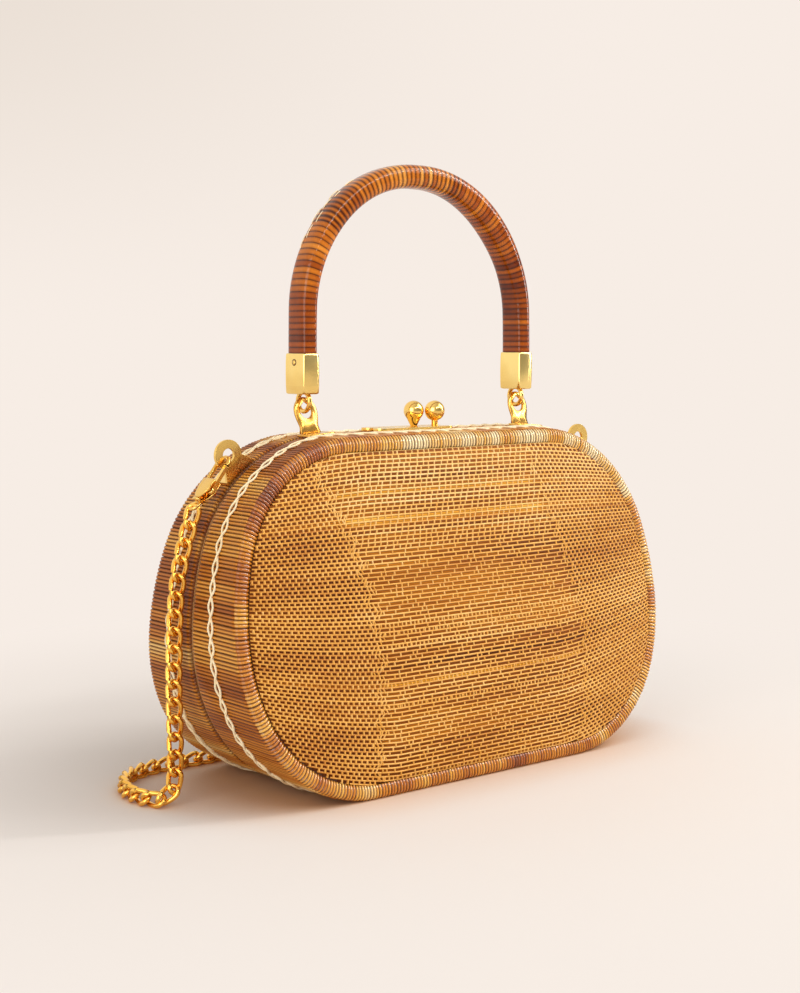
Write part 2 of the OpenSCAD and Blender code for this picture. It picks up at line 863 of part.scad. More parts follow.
// One oval link with its length along X and its flat in the XY plane
module link() {
    bend_r = (link_gap_w + link_wire) / 2;
    straight = link_in - link_gap_w;
    for (side = [-1, 1]) {
        translate([side * straight / 2, 0, 0])
            rotate([0, 0, side * 90 - 180])
                rotate_extrude(angle = 180)
                    translate([bend_r, 0])
                        circle(d = link_wire);
        translate([-straight / 2, side * bend_r, 0])
            rotate([0, 90, 0])
                cylinder(h = straight, d = link_wire);
    }
}

// Links in turn to either side of the route
module chain() {
    color(gilt)
        for (i = [0:link_count - 1]) {
            t = link_dir(i);
            n = link_side[i];
            b = cross(t, n);
            p = link_mid(i);
            multmatrix([
                [t[0], n[0], b[0], p[0]],
                [t[1], n[1], b[1], p[1]],
                [t[2], n[2], b[2], p[2]]
            ])
                rotate([i % 2 == 0 ? link_roll : link_roll - 90, 0, 0])
                    link();
        }
}

module left() {
    mirror([1, 0, 0])
        children();
}

module back() {
    mirror([0, 1, 0])
        children();
}

half_hoop();  // front_hoop
half_wrap();  // front_wrap
half_panel();  // front_panel
half_lining();  // front_lining
half_stitch();  // front_stitch
back() half_hoop();  // back_hoop
back() half_wrap();  // back_wrap
back() half_panel();  // back_panel
back() half_lining();  // back_lining
back() half_stitch();  // back_stitch
left() tab();  // handle_tab_left
tab();  // handle_tab_right
clasp_plate();  // front_clasp_plate
front_ball();  // front_clasp_ball
left() lug();  // chain_lug_left
lug();  // chain_lug_right
back() clasp_plate();  // back_clasp_plate
back_ball();  // back_clasp_ball
leaf(-hinge_x, true);  // hinge_front_leaf_left
leaf(hinge_x, true);  // hinge_front_leaf_right
back() leaf(-hinge_x, false);  // hinge_back_leaf_left
back() leaf(hinge_x, false);  // hinge_back_leaf_right
hinge_pin(-hinge_x);  // hinge_pin_left
hinge_pin(hinge_x);  // hinge_pin_right
handle_core();
handle_wrap();
left() ferrule();  // ferrule_left
ferrule();  // ferrule_right
left() handle_eye();  // handle_eye_left
handle_eye();  // handle_eye_right
left() hook();  // snap_hook_left
hook();  // snap_hook_right
left() gate();  // snap_gate_left
gate();  // snap_gate_right
chain();
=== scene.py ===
import math
import bpy
import numpy as np
from mathutils import Matrix, Vector


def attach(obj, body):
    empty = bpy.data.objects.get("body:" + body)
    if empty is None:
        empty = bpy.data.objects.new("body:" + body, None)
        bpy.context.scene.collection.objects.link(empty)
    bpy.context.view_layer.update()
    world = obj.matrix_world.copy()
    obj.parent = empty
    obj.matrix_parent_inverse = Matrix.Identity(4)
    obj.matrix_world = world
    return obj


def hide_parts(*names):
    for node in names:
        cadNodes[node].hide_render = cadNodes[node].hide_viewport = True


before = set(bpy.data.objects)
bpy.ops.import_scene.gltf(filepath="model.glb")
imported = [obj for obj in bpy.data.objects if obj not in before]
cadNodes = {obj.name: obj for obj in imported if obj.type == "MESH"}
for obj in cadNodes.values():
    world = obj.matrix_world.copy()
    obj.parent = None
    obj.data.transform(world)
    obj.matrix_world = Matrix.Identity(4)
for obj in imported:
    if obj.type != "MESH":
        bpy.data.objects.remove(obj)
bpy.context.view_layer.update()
mm = 0.001
print("frame loaded:", len(cadNodes), "solids")

# the bag's own outline, in mm, the same values as the solids
bag = {
    "width": 200.0, "height": 122.6, "widest": 56.5,
    "topCorner": 51.4, "topTurn": 73.9, "baseCorner": 50.4, "baseTurn": 66.0,
    "baseDepth": 74.0, "topDepth": 36.6, "seam": 0.2,
    "panelRecess": 0.65, "panelDome": 5.0, "panelEdge": 5.25,
}
halves = {-1: "front", 1: "back"}


def flankRadius(rise, corner, turn):
    c = math.cos(math.radians(turn))
    return (rise - corner * (1 - c)) / c


def flatHalf(corner, turn, flank):
    s = math.sin(math.radians(turn))
    return bag["width"] / 2 - corner * s - flank * (1 - s)


flankTop = flankRadius(bag["height"] - bag["widest"], bag["topCorner"], bag["topTurn"])
flankBase = flankRadius(bag["widest"], bag["baseCorner"], bag["baseTurn"])
topFlat = flatHalf(bag["topCorner"], bag["topTurn"], flankTop)
baseFlat = flatHalf(bag["baseCorner"], bag["baseTurn"], flankBase)
# centre x, centre z, radius, first angle, last angle, from the top down the right side
rimArcs = [
    (topFlat, bag["height"] - bag["topCorner"], bag["topCorner"], 90.0, 90.0 - bag["topTurn"]),
    (bag["width"] / 2 - flankTop, bag["widest"], flankTop, 90.0 - bag["topTurn"], 0.0),
    (bag["width"] / 2 - flankBase, bag["widest"], flankBase, 0.0, bag["baseTurn"] - 90.0),
    (baseFlat, bag["baseCorner"], bag["baseCorner"], bag["baseTurn"] - 90.0, -90.0),
]
arcLengths = [a[2] * math.radians(a[3] - a[4]) for a in rimArcs]
halfGirth = topFlat + sum(arcLengths) + baseFlat
faceSlope = (bag["baseDepth"] - bag["topDepth"]) / 2 / bag["height"]


def rimAt(s, off):
    # point of the rim at distance s from the top middle, moved off outwards
    s = np.mod(np.asarray(s, float), 2 * halfGirth)
    off = np.broadcast_to(np.asarray(off, float), s.shape)
    left = s > halfGirth
    t = np.where(left, 2 * halfGirth - s, s)
    x = np.where(t < topFlat, t, 0.0)
    z = np.where(t < topFlat, bag["height"] + off, 0.0)
    start = topFlat
    for a, length in zip(rimArcs, arcLengths):
        on = (t >= start) & (t < start + length)
        angle = np.radians(a[3] - (a[3] - a[4]) * (t - start) / length)
        x = np.where(on, a[0] + (a[2] + off) * np.cos(angle), x)
        z = np.where(on, a[1] + (a[2] + off) * np.sin(angle), z)
        start += length
    on = t >= start
    x = np.where(on, baseFlat - (t - start), x)
    z = np.where(on, -off, z)
    return np.where(left, -x, x), z


def faceY(z):
    return bag["baseDepth"] / 2 - z * faceSlope


def halfWidth(z, inset):
    z = np.asarray(z, float)
    out = np.zeros_like(z)
    topBreak = rimArcs[1][1] + (rimArcs[1][2] - inset) * math.sin(math.radians(rimArcs[1][3]))
    lowBreak = rimArcs[2][1] + (rimArcs[2][2] - inset) * math.sin(math.radians(rimArcs[2][4]))
    picks = [z > topBreak, (z <= topBreak) & (z > bag["widest"]), (z <= bag["widest"]) & (z > lowBreak), z <= lowBreak]
    for pick, a in zip(picks, rimArcs):
        r = a[2] - inset
        out = np.where(pick, a[0] + np.sqrt(np.maximum(0, r * r - (z - a[1]) ** 2)), out)
    return out


def wave(seed, freqs):
    # smooth seeded wobble that repeats every 1
    rng = np.random.default_rng(seed)
    terms = [(f, rng.uniform(0.4, 1.0), rng.uniform(0, 2 * math.pi)) for f in freqs]
    total = sum(t[1] for t in terms)
    return lambda u: sum(a * np.sin(2 * math.pi * f * u + p) for f, a, p in terms) / total


def keyed(u, keys):
    # value at u from a list of places and values
    return np.interp(u, *zip(*keys))


def between(v, first, last):
    # 0 at first and 1 at last, and held beyond them
    return np.clip((v - first) / (last - first), 0, 1)


def turnAngles(count, shift=0.0):
    return (np.arange(count) + shift) * 2 * math.pi / count


def squarer(v, power):
    # a sine or cosine drawn out to the corners of a square by a low power
    return np.sign(v) * np.abs(v) ** power


# mesh helpers

def addMesh(name, verts, faces, materials, body, slotName, values=None, pick=None):
    verts = np.asarray(verts, float).reshape(-1, 3) * mm
    faces = np.asarray(faces, np.int64)
    mesh = bpy.data.meshes.new(name)
    mesh.vertices.add(len(verts))
    mesh.vertices.foreach_set("co", verts.ravel())
    sides = faces.shape[1]
    mesh.loops.add(faces.size)
    mesh.loops.foreach_set("vertex_index", faces.ravel())
    mesh.polygons.add(len(faces))
    mesh.polygons.foreach_set("loop_start", np.arange(len(faces)) * sides)
    mesh.polygons.foreach_set("use_smooth", np.full(len(faces), True))
    for m in materials:
        mesh.materials.append(m)
    if pick is not None:
        mesh.polygons.foreach_set("material_index", np.asarray(pick, np.int32))
    for key, data in (values or {}).items():
        layer = mesh.attributes.new(key, "FLOAT", "POINT")
        layer.data.foreach_set("value", np.asarray(data, np.float32).ravel())
    mesh.update(calc_edges=True)
    mesh.validate()
    obj = bpy.data.objects.new(name, mesh)
    bpy.context.scene.collection.objects.link(obj)
    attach(obj, body)
    return obj


def gridFaces(count, rows, cols, wrapRows=False, wrapCols=False):
    # quads of count grids laid one after another in the vertex list
    r = np.arange(rows if wrapRows else rows - 1)
    c = np.arange(cols if wrapCols else cols - 1)
    i, j = np.meshgrid(r, c, indexing="ij")
    i2, j2 = (i + 1) % rows, (j + 1) % cols
    one = np.stack([i * cols + j, i * cols + j2, i2 * cols + j2, i2 * cols + j], -1).reshape(-1, 4)
    return (one[None] + (np.arange(count) * rows * cols)[:, None, None]).reshape(-1, 4)


def joinGrids(bars, loops=()):
    # vertices and faces of tubes and bars, and of loops that also close end to end
    verts, faces, base = [], [], 0
    for grid, closed in [(g, False) for g in bars] + [(g, True) for g in loops]:
        rows, cols = grid.shape[:2]
        verts.append(grid.reshape(-1, 3))
        faces.append(gridFaces(1, rows, cols, closed, True) + base)
        base += rows * cols
    return np.concatenate(verts), np.concatenate(faces)


def tubeAlong(points, radius, sides=8, up=(0, 0, 1), flat=1.0, closed=False):
    # round or flattened tube through points, carried along without twisting
    points = np.asarray(points, float)
    n = len(points)
    if closed:
        tangent = np.roll(points, -1, 0) - np.roll(points, 1, 0)
    else:
        tangent = np.gradient(points, axis=0)
    tangent /= np.linalg.norm(tangent, axis=1)[:, None]
    side = np.cross(tangent[0], up)
    if np.linalg.norm(side) < 1e-6:
        side = np.cross(tangent[0], (1, 0, 0))
    side /= np.linalg.norm(side)
    radius = np.broadcast_to(np.asarray(radius, float), (n,))
    out = np.zeros((n, sides, 3))
    angle = turnAngles(sides)
    for k in range(n):
        side = side - tangent[k] * side.dot(tangent[k])
        side /= np.linalg.norm(side)
        other = np.cross(tangent[k], side)
        out[k] = points[k] + radius[k] * (np.cos(angle)[:, None] * side + flat * np.sin(angle)[:, None] * other)
    return out


# material helpers

def newMaterial(name, inputs):
    m = bpy.data.materials.new(name)
    m.use_nodes = True
    bsdf = m.node_tree.nodes["Principled BSDF"]
    for key, value in inputs.items():
        bsdf.inputs[key].default_value = value
    return m, m.node_tree, bsdf


def addNode(tree, kind, **settings):
    # a node with its input values, or else its properties, set
    n = tree.nodes.new(kind)
    for key, value in settings.items():
        if key in n.inputs:
            n.inputs[key].default_value = value
        else:
            setattr(n, key, value)
    return n


def link(tree, a, b):
    tree.links.new(a, b)


def ramp(tree, source, stops):
    stops = list(stops)
    n = tree.nodes.new("ShaderNodeValToRGB")
    while len(n.color_ramp.elements) < len(stops):
        n.color_ramp.elements.new(0.5)
    for e, (place, colour) in zip(n.color_ramp.elements, stops):
        e.position = place
        e.color = tuple(colour) + (1.0,)
    link(tree, source, n.inputs["Fac"])
    return n.outputs["Color"]


def grain(tree, scale, size=(1, 1, 1), detail=3.0, roughness=0.55):
    place = addNode(tree, "ShaderNodeTexCoord")
    stretch = addNode(tree, "ShaderNodeMapping", Scale=size)
    noise = addNode(tree, "ShaderNodeTexNoise", Scale=scale, Detail=detail, Roughness=roughness)
    link(tree, place.outputs["Object"], stretch.inputs["Vector"])
    link(tree, stretch.outputs["Vector"], noise.inputs["Vector"])
    return noise.outputs["Fac"]


def mathNode(tree, operation, a, b, clamp=False):
    n = addNode(tree, "ShaderNodeMath", operation=operation, use_clamp=clamp)
    for k, v in enumerate((a, b)):
        if isinstance(v, (int, float)):
            n.inputs[k].default_value = v
        else:
            link(tree, v, n.inputs[k])
    return n.outputs[0]


def mixColour(tree, factor, a, b):
    n = addNode(tree, "ShaderNodeMix", data_type="RGBA")
    for key, v in ((0, factor), (6, a), (7, b)):
        if isinstance(v, tuple):
            n.inputs[key].default_value = v + (1.0,)
        else:
            link(tree, v, n.inputs[key])
    return n.outputs[2]


def attribute(tree, name):
    return addNode(tree, "ShaderNodeAttribute", attribute_name=name).outputs["Fac"]


def bump(tree, bsdf, height, strength, distance):
    n = addNode(tree, "ShaderNodeBump", Strength=strength, Distance=distance)
    link(tree, height, n.inputs["Height"])
    link(tree, n.outputs["Normal"], bsdf.inputs["Normal"])


def spread(tree, source, low, high, first=0.0, last=1.0, kind="LINEAR"):
    n = addNode(tree, "ShaderNodeMapRange", interpolation_type=kind)
    for key, value in (("From Min", first), ("From Max", last), ("To Min", low), ("To Max", high)):
        n.inputs[key].default_value = value
    link(tree, source, n.inputs["Value"])
    return n.outputs["Result"]


# cane and straw: a tone for each strip, grain along it and a dark line at its edges, which is painted shade in the
# valleys between strips
stripFinish = {"coatRough": 0.07, "bump": (0.25, 0.0002)}


def stripMaterial(name, stops, edgeColour, edge, grains, rough, shine, coat=0.0):
    # edge: power and most of the painted shade at a strip's edges; grains: noise and how far it moves the tone, the
    # last one also the relief
    m, tree, bsdf = newMaterial(name, {
        "Coat Weight": coat, "Coat Roughness": stripFinish["coatRough"], "Specular IOR Level": shine})
    tone = attribute(tree, "tone")
    for noise, swing in grains:
        fine = grain(tree, *noise)
        tone = mathNode(tree, "ADD", tone, spread(tree, fine, -swing, swing))
    dark = mathNode(tree, "POWER", attribute(tree, "edge"), edge[0])
    dark = mathNode(tree, "MULTIPLY", dark, edge[1], True)
    link(tree, mixColour(tree, dark, ramp(tree, tone, stops), edgeColour), bsdf.inputs["Base Color"])
    link(tree, spread(tree, fine, *rough), bsdf.inputs["Roughness"])
    bump(tree, bsdf, fine, *stripFinish["bump"])
    return m


wallCane = stripMaterial("wallCane", stops=[
    (0.0, (0.20, 0.044, 0.006)), (0.26, (0.42, 0.116, 0.012)), (0.50, (0.66, 0.232, 0.026)),
    (0.76, (0.86, 0.41, 0.075)), (1.0, (0.96, 0.66, 0.25))],
    edgeColour=(0.070, 0.011, 0.001), edge=(1.35, 0.97), grains=[((55.0, (4.0, 0.5, 4.0), 4.0), 0.16)],
    rough=(0.29, 0.45), shine=0.10, coat=0.22)
bezelCane = stripMaterial("bezelCane", stops=[
    (0.0, (0.17, 0.036, 0.003)), (0.26, (0.42, 0.105, 0.008)), (0.50, (0.70, 0.255, 0.018)),
    (0.74, (0.90, 0.48, 0.078)), (1.0, (1.0, 0.80, 0.44))],
    edgeColour=(0.085, 0.012, 0.001), edge=(1.35, 0.97), grains=[((55.0, (3.0, 3.0, 3.0), 4.0), 0.16)],
    rough=(0.21, 0.37), shine=0.12, coat=1.0)
gripCane = stripMaterial("gripCane", stops=[
    (0.0, (0.030, 0.004, 0.001)), (0.22, (0.14, 0.020, 0.001)), (0.48, (0.37, 0.074, 0.003)),
    (0.74, (0.68, 0.21, 0.016)), (1.0, (0.88, 0.46, 0.10))],
    edgeColour=(0.030, 0.003, 0.001), edge=(1.35, 0.97), grains=[((55.0, (2.0, 2.0, 2.0), 4.0), 0.16)],
    rough=(0.17, 0.33), shine=0.05, coat=0.55)
# straw has long streaks and fine fibres
strawStreaks, strawFibres = (30.0, (0.55, 0.4, 3.2), 3.0, 0.5), (300.0, (0.2, 1, 2.0), 3.0)
wovenSplint = stripMaterial("wovenSplint", stops=[
    (0.0, (0.090, 0.020, 0.002)), (0.3, (0.24, 0.062, 0.004)), (0.55, (0.46, 0.155, 0.010)),
    (0.8, (0.70, 0.31, 0.026)), (1.0, (0.84, 0.46, 0.07))],
    edgeColour=(0.060, 0.011, 0.001), edge=(1.3, 0.80), grains=[(strawStreaks, 0.30), (strawFibres, 0.12)],
    rough=(0.36, 0.54), shine=0.1)
paleStraw = stripMaterial("paleStraw", stops=[
    (0.0, (0.32, 0.085, 0.008)), (0.3, (0.58, 0.228, 0.028)), (0.55, (0.82, 0.415, 0.076)),
    (0.8, (0.95, 0.60, 0.205)), (1.0, (0.98, 0.74, 0.37))],
    edgeColour=(0.22, 0.055, 0.004), edge=(1.3, 0.85), grains=[(strawStreaks, 0.22), (strawFibres, 0.12)],
    rough=(0.36, 0.54), shine=0.25)


def plainMaterial(name, stops, grains, rough, relief):
    # grains: noise and its share in the tone, the first one also the relief
    m, tree, bsdf = newMaterial(name, {"Roughness": rough})
    noises = [grain(tree, *noise) for noise, _ in grains]
    parts = [mathNode(tree, "MULTIPLY", noise, most) for noise, (_, most) in zip(noises, grains)]
    tone = mathNode(tree, "ADD", *parts) if len(parts) > 1 else parts[0]
    link(tree, ramp(tree, tone, stops), bsdf.inputs["Base Color"])
    bump(tree, bsdf, noises[0], *relief)
    return m


creamBraid = plainMaterial("creamBraid", stops=[(0.3, (0.92, 0.74, 0.44)), (0.62, (1.0, 0.90, 0.64))], grains=[
    ((420.0, (1, 1, 1), 3.0), 0.5), ((26.0, (0.6, 1, 2.2), 2.0), 0.5)], rough=0.5, relief=(0.3, 0.0002))
# a dark sheet of painted shade, behind the woven rows and round the nails' heads
shadeSheet = plainMaterial("shadeSheet", stops=[(0.3, (0.05, 0.014, 0.005)), (0.7, (0.11, 0.034, 0.010))], grains=[
    ((120.0, (1, 1, 1), 4.0), 1.0)], rough=0.7, relief=(0.3, 0.0003))
rimWood = plainMaterial("rimWood", stops=[(0.3, (0.30, 0.14, 0.05)), (0.7, (0.46, 0.25, 0.10))], grains=[
    ((60.0, (0.4, 3, 3), 4.0), 1.0)], rough=0.5, relief=(0.3, 0.0003))

# brass: worn, with deeper patches and small dents
brassGrain = {
    "worn": (160.0, (1, 1, 1), 5.0, 0.6), "broad": (45.0, (1, 1, 1), 2.0), "dents": (110.0, (1, 1, 0.35), 1.0),
    "deeper": (0.86, 0.74, 0.55), "stops": (0.32, 0.60), "wornHeight": 0.06, "bump": (0.5, 0.001),
}


def brassMaterial(name, rough, colour, wavy):
    k = brassGrain
    m, tree, bsdf = newMaterial(name, {"Metallic": 1.0})
    worn, broad, dents = (grain(tree, *k[key]) for key in ("worn", "broad", "dents"))
    deep = tuple(c * f for c, f in zip(colour, k["deeper"]))
    link(tree, ramp(tree, broad, zip(k["stops"], (deep, colour))), bsdf.inputs["Base Color"])
    link(tree, spread(tree, worn, *rough), bsdf.inputs["Roughness"])
    dents = mathNode(tree, "MULTIPLY", dents, wavy)
    height = mathNode(tree, "ADD", dents, mathNode(tree, "MULTIPLY", worn, k["wornHeight"]))
    bump(tree, bsdf, height, *k["bump"])
    return m


brassBright = brassMaterial("brassBright", rough=(0.08, 0.24), colour=(0.97, 0.66, 0.20), wavy=0.25)
brassCap = brassMaterial("brassCap", rough=(0.10, 0.26), colour=(0.99, 0.74, 0.27), wavy=1.6)
# the tabs get a darker copy of the brass, painted shade, since they face the bright room and would show too pale
brassTabShaded = brassMaterial("brassTabShaded", rough=(0.16, 0.32), colour=(0.80, 0.50, 0.13), wavy=0.8)
brassHook = brassMaterial("brassHook", rough=(0.10, 0.26), colour=(0.85, 0.54, 0.15), wavy=0.3)
brassSheet = brassMaterial("brassSheet", rough=(0.14, 0.30), colour=(0.98, 0.69, 0.22), wavy=0.6)
brassChain = brassMaterial("brassChain", rough=(0.16, 0.32), colour=(0.98, 0.58, 0.12), wavy=0.2)

# lining cloth: threads both ways
clothLook = {
    "threads": 150.0, "wobble": 1.5, "rough": 0.85, "sheen": 0.3, "bump": (0.4, 0.0002),
    "stops": [(0.0, (0.42, 0.29, 0.17)), (0.6, (0.60, 0.45, 0.29))],
}


def clothMaterial(name, k):
    m, tree, bsdf = newMaterial(name, {"Roughness": k["rough"], "Sheen Weight": k["sheen"]})
    place = addNode(tree, "ShaderNodeTexCoord")
    ways = [addNode(tree, "ShaderNodeTexWave", Scale=k["threads"], Distortion=k["wobble"], bands_direction=axis)
            for axis in ("X", "Z")]
    for way in ways:
        link(tree, place.outputs["Object"], way.inputs["Vector"])
    threads = mathNode(tree, "MULTIPLY", *[way.outputs["Fac"] for way in ways])
    link(tree, ramp(tree, threads, k["stops"]), bsdf.inputs["Base Color"])
    bump(tree, bsdf, threads, *k["bump"])
    return m


liningCloth = clothMaterial("liningCloth", clothLook)
print("materials ready")

# chain first: the same route as the solids
chainLook = {
    "pitch": 6.0, "wire": 1.75, "innerWidth": 2.4, "play": 0.25, "twist": -50.0, "lean": -30.0,
    "endRoom": 1.5, "sides": 10, "bendStep": 18.0, "straightShares": (0.3, 0.1, -0.1, -0.3),
    "faces": (-0.78, -0.62, 0.0),
}
lugPlace = {"turn": 39.0, "reach": 7.6, "hang": 37.0, "length": 20.585, "y": 0.95, "ringY": 1.5}
lugTurn, lugHang = math.radians(lugPlace["turn"]), math.radians(lugPlace["hang"])
lugRadius = bag["topCorner"] + lugPlace["reach"]
lugHole = (
    topFlat + lugRadius * math.sin(lugTurn), lugPlace["y"],
    bag["height"] - bag["topCorner"] + lugRadius * math.cos(lugTurn),
)
hangSin, hangCos = math.sin(lugHang), math.cos(lugHang)
ringPoint = (
    lugHole[0] + lugPlace["length"] * hangSin, lugHole[1] + lugPlace["ringY"],
    lugHole[2] - lugPlace["length"] * hangCos,
)
dropSide = [
    (-98.6, 3, 91.4), (-100.3, 3.2, 85.9), (-101.6, 3.3, 80.3), (-102.6, 3.3, 74.7), (-103.3, 3.3, 69),
    (-103.8, 3.2, 63.4), (-104.2, 3.1, 57.8), (-104.5, 3, 49.5), (-104.7, 3, 40.8), (-104.6, 3, 32.2),
    (-104.5, 2.9, 23.4),
]
bow = [
    (-104.9, 2.4, 13.6), (-106, 1.2, 6.6), (-109, 0.6, 3.1), (-112.4, 3.6, 2.7), (-114.4, 11, 2.7),
    (-113.7, 20, 2.7), (-109.8, 29, 2.7), (-103, 36.2, 2.7), (-96, 39.6, 2.7), (-89, 41.2, 2.7),
    (-80, 41.6, 2.7), (-70, 41.4, 2.7), (-58, 42, 2.7), (-46, 45, 2.7), (-34, 53, 2.7),
    (-21, 63, 2.7), (-6, 68, 2.7), (9, 64, 2.7), (21, 54, 2.7), (34, 46, 2.7),
    (48, 45, 2.7), (61, 51, 2.7), (73, 60, 2.7), (87, 65, 2.7), (100, 60, 2.7),
    (108, 49, 2.7), (110.6, 36, 2.7), (110.2, 23, 3.4), (108.2, 13.4, 7), (106.2, 6.6, 14),
]
route = np.array([(-ringPoint[0],) + ringPoint[1:]] + dropSide + bow
                 + [(-x, y, z) for x, y, z in dropSide[::-1]] + [ringPoint])


def smoothRoute(p, steps):
    # a curve through all the points
    out = []
    for i in range(len(p) - 1):
        a, b, c, d = p[max(i - 1, 0)], p[i], p[i + 1], p[min(i + 2, len(p) - 1)]
        for k in range(steps):
            t = k / steps
            square, cube = 2 * a - 5 * b + 4 * c - d, 3 * b - a - 3 * c + d
            out.append(0.5 * (2 * b + (c - a) * t + square * t * t + cube * t ** 3))
    out.append(p[-1])
    return np.array(out)


chainLine = smoothRoute(route, 6)
chainReach = np.concatenate([[0], np.cumsum(np.linalg.norm(np.diff(chainLine, axis=0), axis=1))])


def chainAt(s):
    return np.array([np.interp(s, chainReach, chainLine[:, k]) for k in range(3)])


def buildChain():
    k = chainLook
    inner = k["pitch"] + k["play"]
    outer = inner + k["endRoom"]
    total = chainReach[-1]
    count = round((total - outer) / k["pitch"]) + 1
    step = (total - outer) / (count - 1)
    bend = (k["innerWidth"] + k["wire"]) / 2
    straight = inner - k["innerWidth"]
    around = []
    for sign in (1, -1):
        for a in np.radians(np.arange(0.0, 181.0, k["bendStep"]) - 90.0 * sign):
            around.append((sign * straight / 2 + bend * math.cos(a), bend * math.sin(a)))
        around += [(sign * straight * f, sign * bend) for f in k["straightShares"]]
    around = np.array(around)
    turn = np.radians(k["twist"]) * around[:, 0] / (straight / 2 + bend)
    lean = math.radians(k["lean"])
    normal = np.array(k["faces"])
    links = []
    for i in range(count):
        s = outer / 2 + i * step
        head, tail = chainAt(s + inner / 2), chainAt(s - inner / 2)
        t = (head - tail) / np.linalg.norm(head - tail)
        normal = normal - t * normal.dot(t)
        normal /= np.linalg.norm(normal)
        flat = normal * math.cos(lean) + np.cross(t, normal) * math.sin(lean)
        side = np.cross(flat, t)
        loop = ((head + tail) / 2 + around[:, :1] * t + (around[:, 1] * np.cos(turn))[:, None] * side
                + (around[:, 1] * np.sin(turn))[:, None] * flat)
        links.append(tubeAlong(loop, k["wire"] / 2, k["sides"], up=flat, closed=True))
    obj = addMesh("curbChain", *joinGrids([], links), [brassChain], "back_half", "brass")
    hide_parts("chain")
    print("chain:", count, "links,", round(total), "mm")


buildChain()

# rim binding: strands side by side over the wall, and a rounded roll of strands on the face
rimLook = {
    "pitch": 1.32, "wallHeight": 0.46, "bezelHeight": 0.44, "loose": 0.07, "liftRange": (0.85, 1.1), "toneSpread": 0.05,
    "wallSwing": 0.54, "bezelSwing": 0.34, "wallShadePower": 0.7, "seamShade": 0.8,
}
strandAcross = np.array([-1.0, -0.62, 0.0, 0.62, 1.0])
strandArch = np.array([0.0, 0.66, 1.0, 0.66, 0.0])
# each point of a strand's way: offset from the outline, how y is told, its value,
# outward and forward parts of the normal
wallWay = [
    (-3.0, "seam", 0.25, 0.2, -0.05), (-1.9, "seam", 0.50, 0.5, -0.1), (-1.0, "seam", 0.90, 0.85, -0.2),
    (-0.52, "seam", 1.45, 1.0, 0.0), (-0.40, "seam", 2.3, 1.0, 0.0), (-0.40, "share", 0.5, 1.0, 0.0),
    (-0.40, "face", 3.2, 1.0, 0.0), (-0.42, "face", 2.0, 1.0, 0.1), (-0.62, "face", 1.55, 0.8, 0.5),
    (-1.1, "face", 1.5, 0.2, 0.6),
]
bezelWay = [
    (-0.66, "face", 2.3, 0.95, 0.1), (-0.60, "face", 1.6, 0.85, 0.5), (-1.05, "face", 0.92, 0.62, 0.78),
    (-1.8, "face", 0.46, 0.36, 0.93), (-2.8, "face", 0.26, 0.1, 1.0), (-3.8, "face", 0.34, -0.2, 0.98),
    (-4.7, "face", 0.70, -0.5, 0.86), (-5.4, "face", 1.25, -0.75, 0.66), (-5.8, "face", 1.8, -0.95, 0.3),
    (-5.95, "face", 2.4, -1.0, 0.0),
]


def buildStrands(name, side, way, height, tone, material, seed):
    k = rimLook
    rng = np.random.default_rng(seed)
    count = round(2 * halfGirth / k["pitch"])
    step = 2 * halfGirth / count
    centre = (np.arange(count) + np.random.default_rng(5).uniform(-k["loose"], k["loose"], count)) * step
    lift = height * rng.uniform(*k["liftRange"], count)
    off = np.array([w[0] for w in way])[:, None]
    outPart = np.array([w[3] for w in way])[:, None]
    s = np.broadcast_to(centre[:, None, None] + strandAcross * step * 0.5, (count, len(way), 5))
    arch = lift[:, None, None] * strandArch
    x, z = rimAt(s, off + arch * outPart)
    depth = faceY(z)
    y = np.zeros_like(x)
    for j, (_, told, value, _, fore) in enumerate(way):
        base = {"seam": bag["seam"] + value, "share": depth[:, j] * value, "face": depth[:, j] - value}[told]
        y[:, j] = base + arch[:, 0] * fore
    tones = tone(centre / (2 * halfGirth)) + rng.normal(0, k["toneSpread"], count)
    # painted shade: each strand darkens towards its edges for the valleys between strands, more broadly on the wall,
    # and fully where the wall turns into the seam groove between the halves
    strandShade = np.broadcast_to(np.abs(strandAcross), x.shape).copy()
    if way is wallWay:
        strandShade = strandShade ** k["wallShadePower"]
        strandShade[:, :2] = 1.0
        strandShade[:, 2] = np.maximum(strandShade[:, 2], k["seamShade"])
    return addMesh(name, np.stack([x, y * side, z], -1), gridFaces(count, len(way), 5), [material],
                   halves[side] + "_half", "cane_binding",
                   {"tone": np.broadcast_to(tones[:, None, None], x.shape), "edge": strandShade})


def rimTone(seed, keys, swing):
    # tone by share of the way round, from the top middle towards +X, with groups of darker and paler strands
    w = wave(seed, [5, 11, 19, 29, 43])
    return lambda u: keyed(u, keys) + swing * w(u)


wallKeys = [(0.0, 0.62), (0.2, 0.52), (0.5, 0.40), (0.62, 0.50), (0.72, 0.56), (0.85, 0.44), (1.0, 0.62)]
# the bezel's tones are partly its strands' own bands of colour and partly painted light: paler along the top and the
# right, where the light falls
bezelKeys = [
    (0.0, 0.88), (0.10, 0.88), (0.2, 0.66), (0.3, 0.64), (0.42, 0.48), (0.56, 0.46), (0.64, 0.64),
    (0.72, 0.50), (0.78, 0.36), (0.86, 0.34), (0.92, 0.54), (0.96, 0.80), (1.0, 0.88),
]
for side, label in halves.items():
    wall = buildStrands(label + "WallBinding", side, wallWay, rimLook["wallHeight"],
                        rimTone(11 + side, wallKeys, rimLook["wallSwing"]), wallCane, 21 + side)
    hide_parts(label + "_wrap")
    buildStrands(label + "FaceBinding", side, bezelWay, rimLook["bezelHeight"],
                 rimTone(31 + side, bezelKeys, rimLook["bezelSwing"]), bezelCane, 41 + side)
print("rims bound")

